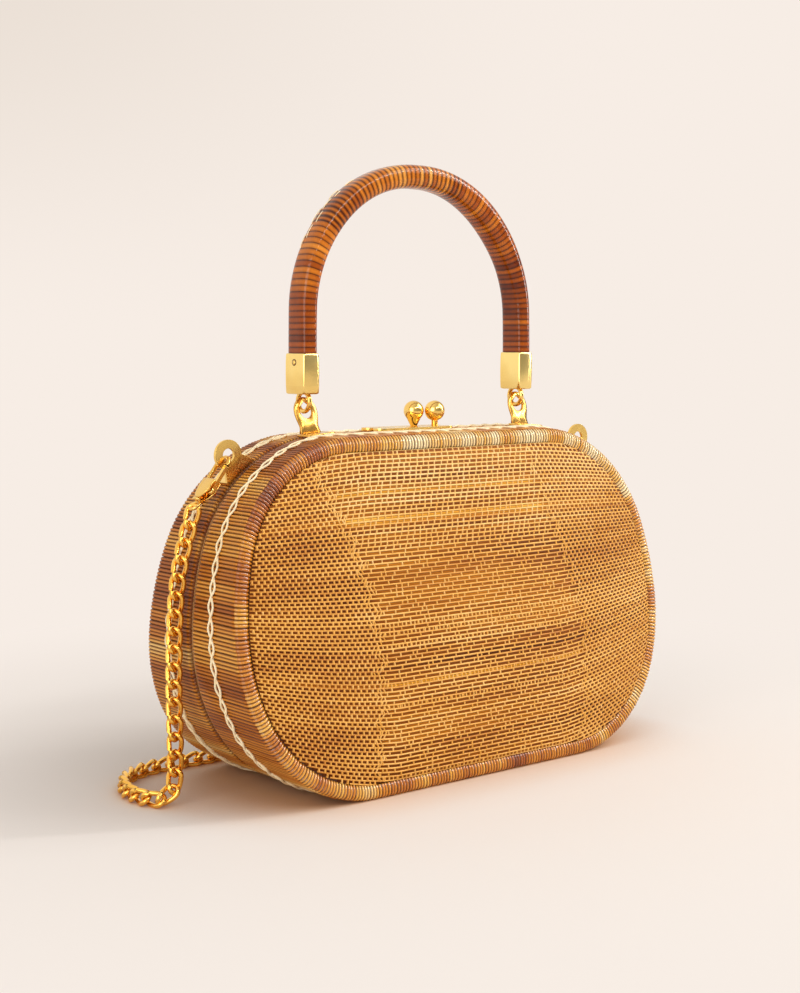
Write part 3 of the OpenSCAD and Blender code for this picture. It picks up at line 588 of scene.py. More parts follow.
# braided cord round each half: two strands that cross, with an eye between the crossings
braidLook = {
    "period": 6.7, "pointsEach": 12, "sway": 1.25, "thick": 0.5, "flat": 0.8, "sides": 7, "ends": 8.0,
    "lift": 0.30, "crossing": 0.24, "depthShare": 0.47, "uneven": 0.5, "wander": 0.25, "wanderShift": 0.3,
}


def buildBraid(label, side):
    k = braidLook
    reach = halfGirth - baseFlat - k["ends"]
    s = np.linspace(-reach, reach, int(2 * reach / k["period"] * k["pointsEach"]))
    wobble = wave(61 + side, [7, 13, 29])
    phase = 2 * math.pi * s / k["period"] + k["uneven"] * wobble(s / (2 * halfGirth))
    strands = []
    for start in (0.0, math.pi):
        swing = np.sin(phase / 2 + start)
        x, z = rimAt(s, k["lift"] + k["crossing"] * np.cos(phase / 2 + start))
        y = faceY(z) * k["depthShare"] + k["sway"] * swing * np.sqrt(np.abs(swing))
        y = y + k["wander"] * wobble(s / halfGirth + k["wanderShift"])
        strands.append(tubeAlong(np.stack([x, y * side, z], -1), k["thick"], k["sides"], up=(0, 1, 0), flat=k["flat"]))
    obj = addMesh(label + "Braid", *joinGrids(strands), [creamBraid], label + "_half", "cream_braid")
    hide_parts(label + "_stitch")


for side, label in halves.items():
    buildBraid(label, side)
print("braids laid")

# woven panels: rows of splints, a thin pale weft between them and short pale stitches across
weave = {
    "row": 1.45, "extraRows": 2, "segments": 96, "endRoom": 0.3, "edgeRoom": 0.05, "domePower": 0.6,
    "fanHeight": 84.0, "fanFrom": 38.0, "fanReach": 52.0, "fanShare": 0.16, "fanMost": 1.3, "fanPower": 1.5,
    "leftBorder": [(8, -49), (34, -46), (61, -46), (82, -51), (110, -62)],
    "rightBorder": [(8, 50), (21, 52), (54, 54), (82, 46), (104, 38)],
    "borderBlend": 4.0, "topField": 84.0, "leftShade": (44.0, 68.0), "glowLean": 0.05,
    "groundRows": 48, "groundDrop": 0.26, "groundRoom": 0.06,
}
# across a strip: share of the row's pitch, lift and how dark its edge is, then its tones; the dark edges of the splints
# are painted shade in the valleys between the rows
splintLook = {
    "across": [-0.40, -0.22, 0.0, 0.22, 0.40], "lift": [-0.2, 0.0, 0.02, 0.0, -0.2], "edge": [1.0, 0.5, 0.0, 0.5, 1.0],
    "trim": 0.1, "tone": 0.26, "bands": 0.14, "spread": 0.07, "goldenRows": 0.10, "golden": 0.40, "side": 0.45,
    "glow": 0.14, "glowAt": (66.0, 11.0), "top": 0.16, "topTo": 104.0, "left": 0.08, "ripple": 0.06,
}
# the pale weft's edges are uneven: painted light from above, paler along its upper side and darker along its lower one
weftLook = {
    "across": [-0.26, -0.14, 0.0, 0.14, 0.26], "lift": [-0.12, 0.225, 0.30, 0.225, -0.12],
    "edge": [1.0, 0.62, 0.15, 0.0, 0.75], "trim": 0.15, "tone": 0.53, "bands": 0.10, "bandShift": 0.13, "spread": 0.06,
    "side": 0.09, "glow": 0.05, "glowAt": (62.0, 18.0), "top": 0.22, "topTo": 108.0, "left": 0.10, "ripple": 0.05,
}
# the stitches' dark edges are painted shade on their rounded sides
stitchLook = {
    "along": [-1.0, 0.0, 1.0], "flare": [1.45, 0.85, 1.45], "sink": [0.26, 0.0, 0.26],
    "across": [-1.0, -0.5, 0.0, 0.5, 1.0], "lift": [0.05, 0.40, 0.50, 0.40, 0.05], "edge": [0.8, 0.4, 0.0, 0.4, 0.8],
    "tone": 0.63, "spread": 0.06, "side": 0.04, "top": 0.20, "topTo": 108.0, "left": 0.10,
}
# where the stitches go: close ones in the side fields, sparse ones in the middle, a zigzag along the borders
stitchPlan = {
    "trim": 0.6, "long": 0.62, "sway": 1.6, "swayStep": 1.1, "swayShift": 1.0, "borderLoose": 0.6,
    "sideGap": 2.3, "sideHalf": 0.43, "sideRange": (0.88, 1.1), "sideLoose": 0.14, "twillFrom": 62.0, "twill": 0.10,
    "middleGap": 5.6, "middleHalf": 0.33, "middleRange": (0.8, 1.15), "middleLoose": 0.5, "middleRoom": 0.8,
    "topDrift": 0.10, "drift": (0.30, 0.46), "dashRows": 0.12, "dashes": (1.9, 3.7, 5.4),
    "pairShare": 0.8, "pairGap": (1.7, 2.5), "topLean": 0.30, "lean": 0.12,
    "zigLong": 0.72, "zigHalf": 0.36, "zigLean": 0.5, "zigSecond": 1.6,
}
panelLow, panelHigh = bag["panelEdge"], bag["height"] - bag["panelEdge"]
panelRows = round((panelHigh - panelLow) / weave["row"])
rowPitch = (panelHigh - panelLow) / panelRows
alongRow = np.linspace(-1, 1, weave["segments"] + 1)


def fan(x, z):
    # rows draw together towards the two ends of the panel
    u = np.clip((np.abs(x) - weave["fanFrom"]) / weave["fanReach"], 0, weave["fanMost"])
    return weave["fanHeight"] + (z - weave["fanHeight"]) * (1 - weave["fanShare"] * u ** weave["fanPower"])


def onPanel(z, room):
    return np.clip(z, panelLow + room, panelHigh - room)


def panelWidth(z):
    return halfWidth(z, bag["panelEdge"])


def panelSurface(x, z, lift):
    u = x / panelWidth(z)
    v = 2 * (z - panelLow) / (panelHigh - panelLow) - 1
    bulge = bag["panelDome"] * np.maximum(0, (1 - u * u) * (1 - v * v)) ** weave["domePower"]
    return faceY(z) - bag["panelRecess"] + bulge + lift


def rowEnd(places, trim):
    # half length of each row, found where the fanned row meets the panel's edge
    wide = panelWidth(onPanel(places, weave["endRoom"]))
    for _ in range(6):
        wide = 0.5 * wide + 0.5 * panelWidth(onPanel(fan(wide, places), weave["endRoom"]))
    return wide - trim


def strips(places, look):
    x = rowEnd(places, look["trim"])[:, None, None] * alongRow[:, None]
    x = np.broadcast_to(x, (len(places), len(alongRow), len(look["across"])))
    z = places[:, None, None] + np.array(look["across"]) * rowPitch
    z = onPanel(fan(x, np.broadcast_to(z, x.shape)), weave["edgeRoom"])
    x = np.minimum(np.abs(x), panelWidth(z) - weave["edgeRoom"]) * np.sign(x)
    return x, panelSurface(x, z, np.array(look["lift"])), z


def middleField(x, z):
    # 1 in the middle field, 0 in the side fields
    left, right = keyed(z, weave["leftBorder"]), keyed(z, weave["rightBorder"])
    return np.clip((x - left) / weave["borderBlend"], 0, 1) * np.clip((right - x) / weave["borderBlend"], 0, 1)


def paintedLightTone(x, z, look):
    # painted light: paler towards the top and darker towards the left end, as the light falls from the upper right
    top = look["top"] * between(z, weave["topField"], look["topTo"])
    return top - look["left"] * between(-x, *weave["leftShade"])


def glowBand(x, z, look):
    height, reach = look["glowAt"]
    return look["glow"] * np.exp(-((z - height + weave["glowLean"] * x) / reach) ** 2)


def stitchMarks(centre, rng):
    # place, height of the middle, half length, half width and lean of each stitch
    k = stitchPlan
    marks = []
    drift = 0.0
    tall = k["long"] * rowPitch
    for i, (z, wide) in enumerate(zip(centre, rowEnd(centre, k["trim"]))):
        top = z > weave["topField"]
        left, right = (
            keyed(z, weave[border]) + k["sway"] * math.sin(i * k["swayStep"] + shift)
            + rng.uniform(-k["borderLoose"], k["borderLoose"])
            for border, shift in (("leftBorder", 0.0), ("rightBorder", k["swayShift"])))
        gap = k["sideGap"]
        twill = 0.5 * (i % 2) + (k["twill"] * i if z > k["twillFrom"] else 0.0)
        for first, last in ((-wide, left), (right, wide)):
            for j in range(int(first // gap) - 1, int(last // gap) + 2):
                p = (j + twill % 1.0) * gap + rng.uniform(-k["sideLoose"], k["sideLoose"])
                if first < p < last:
                    marks.append((p, z, tall, k["sideHalf"] * rng.uniform(*k["sideRange"]), 0.0))
        gap = k["middleGap"]
        drift += k["topDrift"] if top else k["drift"][0 if i % 7 < 4 else 1]
        dashed = not top and rng.uniform() < k["dashRows"]
        for j in range(int(left // gap) - 1, int(right // gap) + 2):
            p = (j + drift % 1.0) * gap + rng.uniform(-k["middleLoose"], k["middleLoose"])
            places = [p]
            if dashed:
                places += [p + dash for dash in k["dashes"]]
            elif (j + i // 3) % 4 == 0 and rng.uniform() < k["pairShare"]:
                places.append(p + rng.uniform(*k["pairGap"]))
            elif top:
                places.append(p + 0.5 * gap)
            for q in places:
                if left + k["middleRoom"] < q < right - k["middleRoom"]:
                    half = k["middleHalf"] * rng.uniform(*k["middleRange"])
                    marks.append((q, z, tall, half, k["topLean"] if top else rng.uniform(-k["lean"], k["lean"])))
        zig = k["zigLean"] if i % 4 < 2 else -k["zigLean"]
        for q, lean in ((left, zig), (right, -zig), (left + k["zigSecond"], zig)):
            if abs(q) < wide:
                marks.append((q, z, k["zigLong"] * rowPitch, k["zigHalf"], lean))
    room = weave["endRoom"]
    return np.array([m for m in marks if panelLow + room < fan(m[0], m[1]) < panelHigh - room])


def buildPanel(label, side):
    rng = np.random.default_rng(71 + side)
    bands = wave(81 + side, [2, 3, 5, 8, 13])
    body = label + "_half"
    rows = panelRows + 2 * weave["extraRows"]
    centre = panelLow + (np.arange(rows) + 0.5 - weave["extraRows"]) * rowPitch

    # deep splints, darker in the side fields, golden in bands across the middle
    k = splintLook
    x, y, z = strips(centre, k)
    rowTone = k["tone"] + k["bands"] * bands(centre / bag["height"]) + rng.normal(0, k["spread"], rows)
    rowTone = rowTone + np.where(rng.uniform(size=rows) < k["goldenRows"], k["golden"], 0.0)
    middle = middleField(x, z)
    tones = rowTone[:, None, None] * (k["side"] + (1 - k["side"]) * middle) + middle * glowBand(x, z, k)
    tones = tones + paintedLightTone(x, z, k) + k["ripple"] * np.sin(x / 17 + z / 9)
    splints = addMesh(label + "Splints", np.stack([x, y * side, z], -1), gridFaces(rows, len(alongRow), 5),
                      [wovenSplint], body, "woven_straw",
                      {"tone": tones, "edge": np.broadcast_to(k["edge"], x.shape)})
    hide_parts(label + "_panel")

    # pale straw between the rows
    k = weftLook
    joints = panelLow + (np.arange(1, rows) - weave["extraRows"]) * rowPitch
    x, y, z = strips(joints, k)
    rowTone = k["tone"] + k["bands"] * bands(joints / bag["height"] + k["bandShift"])
    rowTone = rowTone + rng.normal(0, k["spread"], rows - 1)
    middle = middleField(x, z)
    tones = rowTone[:, None, None] - middle * glowBand(x, z, k) - k["side"] * (1 - middle)
    tones = tones + paintedLightTone(x, z, k) + k["ripple"] * np.sin(x / 13 - z / 11)
    verts = [np.stack([x, y * side, z], -1).reshape(-1, 3)]
    faces = [gridFaces(rows - 1, len(alongRow), 5)]
    toneParts, edgeParts = [tones.ravel()], [np.broadcast_to(k["edge"], x.shape).ravel()]

    # stitches across the rows, in one mesh with the straw
    k = stitchLook
    marks = stitchMarks(centre, rng)
    markX, markZ, tall, half, lean = (c[:, None, None] for c in marks.T)
    along, flare, sink = (np.array(k[key])[:, None] for key in ("along", "flare", "sink"))
    z = np.broadcast_to(markZ + tall * along, (len(marks), 3, 5))
    x = markX + half * np.array(k["across"]) * flare + lean * (z - markZ)
    z = onPanel(fan(x, z), weave["edgeRoom"])
    limit = panelWidth(z) - weave["edgeRoom"]
    x = np.clip(x, -limit, limit)
    y = panelSurface(x, z, np.array(k["lift"]) - sink)
    tones = k["tone"] - k["side"] * (1 - middleField(x, z)) + paintedLightTone(x, z, k)
    tones = tones + rng.normal(0, k["spread"], len(marks))[:, None, None]
    verts.append(np.stack([x, y * side, z], -1).reshape(-1, 3))
    faces.append(gridFaces(len(marks), 3, 5) + len(verts[0]))
    toneParts.append(tones.ravel())
    edgeParts.append(np.broadcast_to(k["edge"], x.shape).ravel())
    addMesh(label + "Stitches", np.concatenate(verts), np.concatenate(faces), [paleStraw], body, "woven_straw",
            {"tone": np.concatenate(toneParts), "edge": np.concatenate(edgeParts)})

    # painted shade: a dark ground behind the rows stands for the shade between them
    room = weave["groundRoom"]
    z = np.linspace(panelLow + room, panelHigh - room, weave["groundRows"])
    x = (panelWidth(z) - room)[:, None] * alongRow[::4]
    z = np.broadcast_to(z[:, None], x.shape)
    y = panelSurface(x, z, -weave["groundDrop"])
    addMesh(label + "Ground", np.stack([x, y * side, z], -1), gridFaces(1, *x.shape), [shadeSheet],
            body, "woven_straw")
    print(label, "panel:", rows, "rows,", len(marks), "stitches")


for side, label in halves.items():
    buildPanel(label, side)

# wrapped handle; thin says how thin the painted shade line between two turns is,
# with broad dark bands on the left shoulder and past the crown
grip = {
    "legX": 50.8, "planeY": 2.417, "crownZ": 215.647, "shoulder": 49.4, "startZ": 151.147, "coreWidth": 7.2,
    "endWidth": 6.6, "midWidth": 8.6, "rightExtra": 1.0, "rightAt": 0.72, "rightReach": 0.13, "depth": 10.8,
    "shift": 0.15, "endPower": 4.2, "midPower": 2.7, "turn": 2.1, "dip": 0.035, "sides": 44, "spread": 0.09,
    "tone": [(0.0, 0.38), (0.08, 0.46), (0.16, 0.54), (0.238, 0.64), (0.244, 0.50), (0.34, 0.60), (0.43, 0.72),
             (0.53, 0.72), (0.60, 0.56), (0.61, 0.60), (0.72, 0.50), (0.80, 0.38), (0.90, 0.36), (1.0, 0.40)],
    "thin": [(0.0, 2.2), (0.238, 2.4), (0.242, 0.22), (0.27, 0.40), (0.32, 0.8), (0.40, 1.2), (0.50, 1.2),
             (0.56, 0.8), (0.600, 0.35), (0.606, 2.4), (0.8, 1.6), (1.0, 1.6)],
}
# thin pale floats over the turns on the outer side of the left shoulder: forward place, first and last share
floatLook = {
    "rows": [(3.0, 0.19, 0.31), (1.8, 0.21, 0.34), (0.6, 0.24, 0.33)], "runs": [1.6, 2.4, 3.2], "gaps": [2.0, 3.2],
    "points": 7, "sides": 6, "radius": 0.22, "flat": 0.6, "rise": 0.06, "dive": 0.3,
}
springZ = grip["crownZ"] - grip["shoulder"]
legRun = springZ - grip["startZ"]
arcRun = grip["shoulder"] * math.pi / 2
crownRun = 2 * (grip["legX"] - grip["shoulder"])
gripRun = 2 * legRun + 2 * arcRun + crownRun


def gripAt(a):
    # centre and outward direction of the arch at run a, from the left ferrule over to the right one
    flip = a > gripRun / 2
    t = np.where(flip, gripRun - a, a)
    onLeg = t < legRun
    onArc = (t >= legRun) & (t < legRun + arcRun)
    angle = np.clip((t - legRun) / grip["shoulder"], 0, math.pi / 2)
    x = np.where(onLeg, -grip["legX"], -(grip["legX"] - grip["shoulder"]) - grip["shoulder"] * np.cos(angle))
    z = np.where(onLeg, grip["startZ"] + t, springZ + grip["shoulder"] * np.sin(angle))
    x = np.where(~onLeg & ~onArc, -(gripRun / 2 - t), x)
    z = np.where(~onLeg & ~onArc, grip["crownZ"], z)
    nx, nz = -np.cos(angle), np.sin(angle)
    return np.where(flip, -x, x), z, np.where(flip, -nx, nx), nz


def gripSection(count, width):
    # rounded oblongs: radial part and front-to-back part, one for each width, squarer where it is slim
    turn = turnAngles(count, 0.5)
    width = np.asarray(width, float)[..., None]
    full = between(width, grip["endWidth"], grip["midWidth"])
    power = 2 / (grip["endPower"] + (grip["midPower"] - grip["endPower"]) * full ** 0.6)
    return width / 2 * squarer(np.cos(turn), power), grip["depth"] / 2 * squarer(np.sin(turn), power)


def gripWidth(a):
    # slimmer at the ferrules, fuller over the arch
    t = np.clip(np.minimum(a, gripRun - a) / (legRun + 0.5 * arcRun), 0, 1)
    fuller = grip["rightExtra"] * np.exp(-((a / gripRun - grip["rightAt"]) / grip["rightReach"]) ** 2)
    return grip["endWidth"] + (grip["midWidth"] - grip["endWidth"]) * t * t * (3 - 2 * t) + fuller


def buildGrip():
    rng = np.random.default_rng(91)
    count = round(gripRun / grip["turn"])
    step = gripRun / count
    centre = (np.arange(count) + 0.5) * step
    a = np.clip(centre[:, None] + strandAcross * step * 0.5, 0.001, gripRun - 0.001)
    x, z, nx, nz = (part[:, :, None] for part in gripAt(a))
    width = gripWidth(a)
    radial, cross = gripSection(grip["sides"], width)
    drop = grip["dip"] * (1 - strandArch)
    radial = radial * (1 - drop / (width / 2))[:, :, None] + ((grip["coreWidth"] - width) / 2)[:, :, None]
    y = grip["planeY"] + grip["shift"] + cross * (1 - drop / (grip["depth"] / 2))[:, None]
    share = centre / gripRun
    tone = keyed(share, grip["tone"]) + rng.normal(0, grip["spread"], count)
    edge = np.abs(strandAcross) ** keyed(share, grip["thin"])[:, None]
    values = {"tone": np.broadcast_to(tone[:, None, None], y.shape), "edge": np.broadcast_to(edge[:, :, None], y.shape)}
    obj = addMesh("gripBinding", np.stack([x + nx * radial, y, z + nz * radial], -1),
                  gridFaces(count, 5, grip["sides"], False, True), [gripCane], "handle", "cane_binding", values)
    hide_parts("handle_wrap")
    k = floatLook
    dive = k["dive"] * np.abs(np.linspace(-1, 1, k["points"])) ** 4
    rise = grip["coreWidth"] / 2 + k["rise"] - dive
    floats = []
    for forward, first, last in k["rows"]:
        pos = first * gripRun
        while pos < last * gripRun:
            run = step * rng.choice(k["runs"])
            x, z, nx, nz = gripAt(np.linspace(pos, pos + run, k["points"]))
            points = np.stack([x + nx * rise, np.full(k["points"], grip["planeY"] + forward), z + nz * rise], -1)
            floats.append(tubeAlong(points, k["radius"], k["sides"], up=(0, 1, 0), flat=k["flat"]))
            pos += run + step * rng.choice(k["gaps"])
    addMesh("gripFloats", *joinGrids(floats), [creamBraid], "handle", "cream_braid")
    print("grip:", count, "turns")


buildGrip()

# brass fittings keep their solids and get softened edges and a finish
fittings = {
    "sheet": (["chain_lug_left", "chain_lug_right", "front_clasp_plate", "back_clasp_plate",
               "hinge_front_leaf_left", "hinge_front_leaf_right", "hinge_back_leaf_left",
               "hinge_back_leaf_right"], brassSheet, 0.25),
    "bright": (["front_clasp_ball", "back_clasp_ball", "handle_eye_left", "handle_eye_right", "hinge_pin_left",
                "hinge_pin_right", "snap_gate_left", "snap_gate_right"], brassBright, 0.3),
}
softEdge = {"weld": 0.02, "segments": 3, "sharpest": 38.0}


def dress(node, material, soften=0.0):
    obj = cadNodes[node]
    obj.data.materials.clear()
    obj.data.materials.append(material)
    if soften:
        weld = obj.modifiers.new("weld", "WELD")
        weld.merge_threshold = softEdge["weld"] * mm
        edge = obj.modifiers.new("softEdge", "BEVEL")
        edge.width = soften * mm
        edge.segments = softEdge["segments"]
        edge.limit_method = "ANGLE"
        edge.angle_limit = math.radians(softEdge["sharpest"])
        edge.harden_normals = False


for nodes, material, soften in fittings.values():
    for node in nodes:
        dress(node, material, soften)
for node in ("front_hoop", "back_hoop", "handle_core"):
    dress(node, rimWood)
for node in ("front_lining", "back_lining"):
    dress(node, liningCloth)

# snap hooks: a wire bend and leg, a spine with two cheeks that taper to a collar, and a swivel ring
# each section: height, middle x, middle y, half x, half y
hookLook = {
    "bend": 3.0, "top": -4.0, "shoulder": -10.6, "wire": 0.78, "sides": 10, "ring": 1.9, "ringWire": 0.6,
    "ringLean": 20.0, "ringPoints": 28, "pin": (1.80, -3.0, -14.4), "pinSides": 12,
    "pinHead": [(0.0, 0.62), (0.16, 0.58), (0.24, 0.3), (0.25, 0.01)],
    "spine": [(-10.3, 0, 2.5, 0.2, 0.2), (-10.35, 0, 2.5, 1.3, 0.9), (-10.8, 0, 2.4, 1.8, 1.35),
              (-13.8, 0, 2.35, 1.85, 1.35), (-16.4, 0, 2.05, 1.75, 1.3), (-18.0, 0, 1.6, 1.4, 1.25),
              (-18.1, 0, 1.5, 1.7, 1.7), (-18.75, 0, 1.5, 1.7, 1.7), (-18.85, 0, 1.5, 1.3, 1.3),
              (-18.9, 0, 1.5, 0.2, 0.2)],
    "cheek": [(-10.4, 1.4, -0.8, 0.1, 0.4), (-10.45, 1.4, -0.8, 0.3, 2.3), (-10.8, 1.42, -0.8, 0.43, 2.75),
              (-14.4, 1.42, -0.7, 0.43, 2.75), (-16.4, 1.36, 0.0, 0.40, 2.1), (-17.8, 1.2, 0.8, 0.3, 1.2),
              (-17.9, 1.2, 0.8, 0.1, 0.3)],
}
mirrors = {"Left": -1, "Right": 1}


def loft(sections, flip=1.0, sides=20, power=0.5):
    # rounded bar through the sections, squarer for a lower power
    a = turnAngles(sides)
    corners = list(zip(squarer(np.cos(a), power), squarer(np.sin(a), power)))
    return np.array([[(flip * (x + hx * u), y + hy * v, z) for u, v in corners] for z, x, y, hx, hy in sections])


def buildHook(name, mirror):
    k = hookLook
    leg = [(0, k["bend"], z) for z in np.linspace(k["shoulder"], k["top"], 6)[:-1]]
    bend = [(0, k["bend"] * math.cos(t), k["top"] + k["bend"] * math.sin(t)) for t in np.radians(range(0, 181, 12))]
    lean = math.radians(k["ringLean"])
    ring = [(-k["ring"] * math.sin(t) * math.sin(lean), lugPlace["ringY"] + k["ring"] * math.cos(t),
             -lugPlace["length"] + k["ring"] * math.sin(t) * math.cos(lean)) for t in turnAngles(k["ringPoints"])]
    bars = [tubeAlong(leg + bend, k["wire"], k["sides"], up=(1, 0, 0)),
            loft(k["spine"]), loft(k["cheek"]), loft(k["cheek"], -1.0)]
    pinX, pinY, pinZ = k["pin"]
    for flip in (1, -1):
        pin = [(flip * (pinX + out), pinY, pinZ) for out, _ in k["pinHead"]]
        bars.append(tubeAlong(pin, [radius for _, radius in k["pinHead"]], k["pinSides"]))
    ringTube = tubeAlong(ring, k["ringWire"], k["sides"], up=(1, 0, 0), closed=True)
    local, faces = joinGrids(bars, [ringTube])
    axes = np.array([(hangCos, 0, hangSin), (0, 1, 0), (-hangSin, 0, hangCos)])
    world = np.array(lugHole) + local @ axes
    obj = addMesh("hook" + name, world * np.array([mirror, 1, 1]), faces, [brassHook], "back_half", "brass")
    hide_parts("snap_hook_" + name.lower())


for name, mirror in mirrors.items():
    buildHook(name, mirror)

# handle tabs: a bent sheet with a pear-shaped hole, half outlines as x and height from the hole
tabLook = {
    "legX": 50.8, "reach": 8.6, "lean": 16.0, "bendY": -0.4, "sheet": 1.1, "soft": 0.22, "points": 64,
    "foot": 7.4, "footWide": 11.6, "footSides": 40, "footPower": 0.24, "fit": 0.05,
    "outline": [(0, 4.9), (1.9, 4.4), (3.4, 3.25), (4.4, 1.6), (4.7, 0), (4.6, -1.8), (4.15, -3.6),
                (3.8, -5.0), (3.75, -6.2), (4.1, -7.35), (4.5, -8.2), (0, -8.4)],
    "hole": [(0, 3.3), (0.9, 2.6), (1.8, 1.7), (2.4, 0.6), (2.5, -0.3), (2.2, -1.3), (1.4, -2.15), (0, -2.55)],
}


def aroundRadius(outline, angles):
    # distance to a half outline at angles from straight up, the same on both sides
    x, z = np.array(outline, float).T
    return np.interp(np.minimum(angles, 2 * math.pi - angles), np.arctan2(x, z), np.hypot(x, z))


def buildTab(name, mirror):
    k = tabLook
    angles = turnAngles(k["points"])
    outer, inner = aroundRadius(k["outline"], angles), aroundRadius(k["hole"], angles)
    lean, soft = math.radians(k["lean"]), k["soft"]
    half = k["sheet"] / math.cos(lean) / 2
    rings = [(outer, soft - half), (outer - soft, -half), (inner + soft, -half), (inner, soft - half),
             (inner, half - soft), (inner + soft, half), (outer - soft, half), (outer, half - soft)]
    sheet = []
    for radius, y in rings:
        x, z = radius * np.sin(angles), k["reach"] + radius * np.cos(angles)
        sheet.append(np.stack([x, k["bendY"] - half + (z - k["fit"]) * math.tan(lean) + y, z], -1))
    sheet = np.array(sheet)
    low, high, thick = k["bendY"] - k["foot"], k["bendY"] - 0.1, k["sheet"] / 2
    ends = [(low, 0.1, 0.05), (low, 0.4, thick - 0.3), (low + 0.1, 0.9, thick - 0.1), (low + 0.4, 0.98, thick),
            (high - 0.2, 1.0, thick), (high, 0.98, thick - 0.1), (high, 0.1, 0.05)]
    sections = [(y, 0, k["fit"] + thick, w * k["footWide"] / 2, t) for y, w, t in ends]
    foot = loft(sections, 1.0, k["footSides"], k["footPower"])[:, :, [0, 2, 1]]
    local = np.concatenate([sheet.reshape(-1, 3), foot.reshape(-1, 3)])
    footFaces = gridFaces(1, len(ends), k["footSides"], False, True)[:, ::-1] + sheet.size // 3
    faces = np.concatenate([gridFaces(1, len(rings), k["points"], True, True), footFaces])
    edge = min(k["legX"], topFlat)
    turn = math.asin((k["legX"] - edge) / (bag["topCorner"] + k["reach"]))
    up = bag["topCorner"] + local[:, 2]
    world = np.stack([edge + local[:, 0] * math.cos(turn) + up * math.sin(turn), local[:, 1],
                      bag["height"] - bag["topCorner"] - local[:, 0] * math.sin(turn) + up * math.cos(turn)], -1)
    obj = addMesh("tab" + name, world * np.array([mirror, 1, 1]), faces, [brassTabShaded], "front_half", "brass")
    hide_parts("handle_tab_" + name.lower())


for name, mirror in mirrors.items():
    buildTab(name, mirror)

# square ferrules with a little swell and a turned-in lip, and a round-headed nail in the outer side of each
ferruleLook = {
    "outer": 54.75, "wide": 7.1, "middleY": 2.6, "deep": 11.3, "low": 136.947, "sides": 48, "power": 0.24, "least": 0.1,
    "swell": [(0.0, -9.0), (0.0, -0.7), (0.12, -0.3), (0.5, 0.0), (3.0, 0.10), (7.0, 0.14), (11.0, 0.10),
              (13.3, 0.02), (13.9, -0.05), (14.2, -0.22), (14.15, -0.5), (12.6, -0.6)],
}
# the nail's profile: rise and radius, with a dark ring of painted shade round the head
nailLook = {
    "x": 54.86, "y": 2.4, "z": 148.0, "sides": 16, "dark": [1, 1, 0, 0, 0, 0],
    "profile": [(-0.3, 1.15), (0.06, 1.15), (0.03, 0.8), (0.10, 0.8), (0.2, 0.688), (0.34, 0.4), (0.4, 0.02)],
}
for name, flip in mirrors.items():
    k = ferruleLook
    wide, deep, middle = k["wide"] / 2, k["deep"] / 2, k["outer"] - k["wide"] / 2
    sections = [(k["low"] + z, middle, k["middleY"], max(wide + d, k["least"]), max(deep + d, k["least"]))
                for z, d in k["swell"]]
    cap = loft(sections, flip, k["sides"], k["power"])
    obj = addMesh("ferrule" + name, *joinGrids([cap]), [brassCap], "handle", "brass")
    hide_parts("ferrule_" + name.lower())
    k = nailLook
    rise, radius = np.array(k["profile"]).T
    dome = tubeAlong([(flip * i, 0, 0) for i in range(len(rise))], radius, k["sides"])
    dome[:, :, 0] = flip * (k["x"] + rise[:, None])
    dome[:, :, 1:] += np.array([k["y"], k["z"]])
    addMesh("nail" + name, *joinGrids([dome]), [brassBright, shadeSheet], "handle", "brass",
            pick=np.repeat(k["dark"], k["sides"]))
print("fittings dressed")

# floor, light and camera
stageLook = {
    "pale": (0.93, 0.847, 0.783), "dimmer": (0.82, 0.735, 0.66), "dimSide": (0.77, -0.63, 0.0),
    "dimFrom": (0.15, -0.30), "dimHeights": (0.0, 0.22), "floor": (0.79, 0.757, 0.737), "floorSize": 6.0,
    "contactShadow": (0.66, 0.42, 0.25), "contactReach": 0.035, "contactSamples": 8, "contactStops": (0.25, 0.92),
    "fade": (0.07, 0.34), "worldLight": 0.53, "worldColour": (1.0, 0.92, 0.83), "room": (1.0, 0.96, 0.91),
    "roomBehind": (-0.60, 0.74, 0.30), "roomFrom": (-0.9, 0.7), "roomLight": (0.34, 1.05),
}
lights = {
    "key": {"place": (1.15, -0.66, 1.10), "target": (0.0, 0.0, 0.08), "size": (1.1, 1.1), "power": 10.5,
            "colour": (1.0, 0.98, 0.95)},
    "side": {"place": (1.25, -0.66, 0.72), "target": (0.0, 0.0, 0.14), "size": (0.09, 1.3), "power": 9.0,
             "colour": (1.0, 0.98, 0.95)},
    "fill": {"place": (-1.2, -0.55, 0.45), "target": (0.0, 0.0, 0.08), "size": (0.9, 0.9), "power": 7.2,
             "colour": (1.0, 0.96, 0.90)},
    "strip": {"place": (0.20, -1.05, 0.92), "target": (0.0, 0.0, 0.1), "size": (1.3, 0.09), "power": 5.2,
              "colour": (1.0, 0.98, 0.95)},
}


def mixShaders(tree, factor, a, b):
    n = addNode(tree, "ShaderNodeMixShader")
    for key, socket in enumerate((factor, a, b)):
        link(tree, socket, n.inputs[key])
    return n.outputs[0]


def towards(tree, direction):
    # how far the line of sight points along a direction
    n = addNode(tree, "ShaderNodeVectorMath", operation="DOT_PRODUCT")
    n.inputs[1].default_value = direction
    link(tree, addNode(tree, "ShaderNodeTexCoord").outputs["Generated"], n.inputs[0])
    return n.outputs["Value"]


def solid(colour):
    return colour + (1.0,)


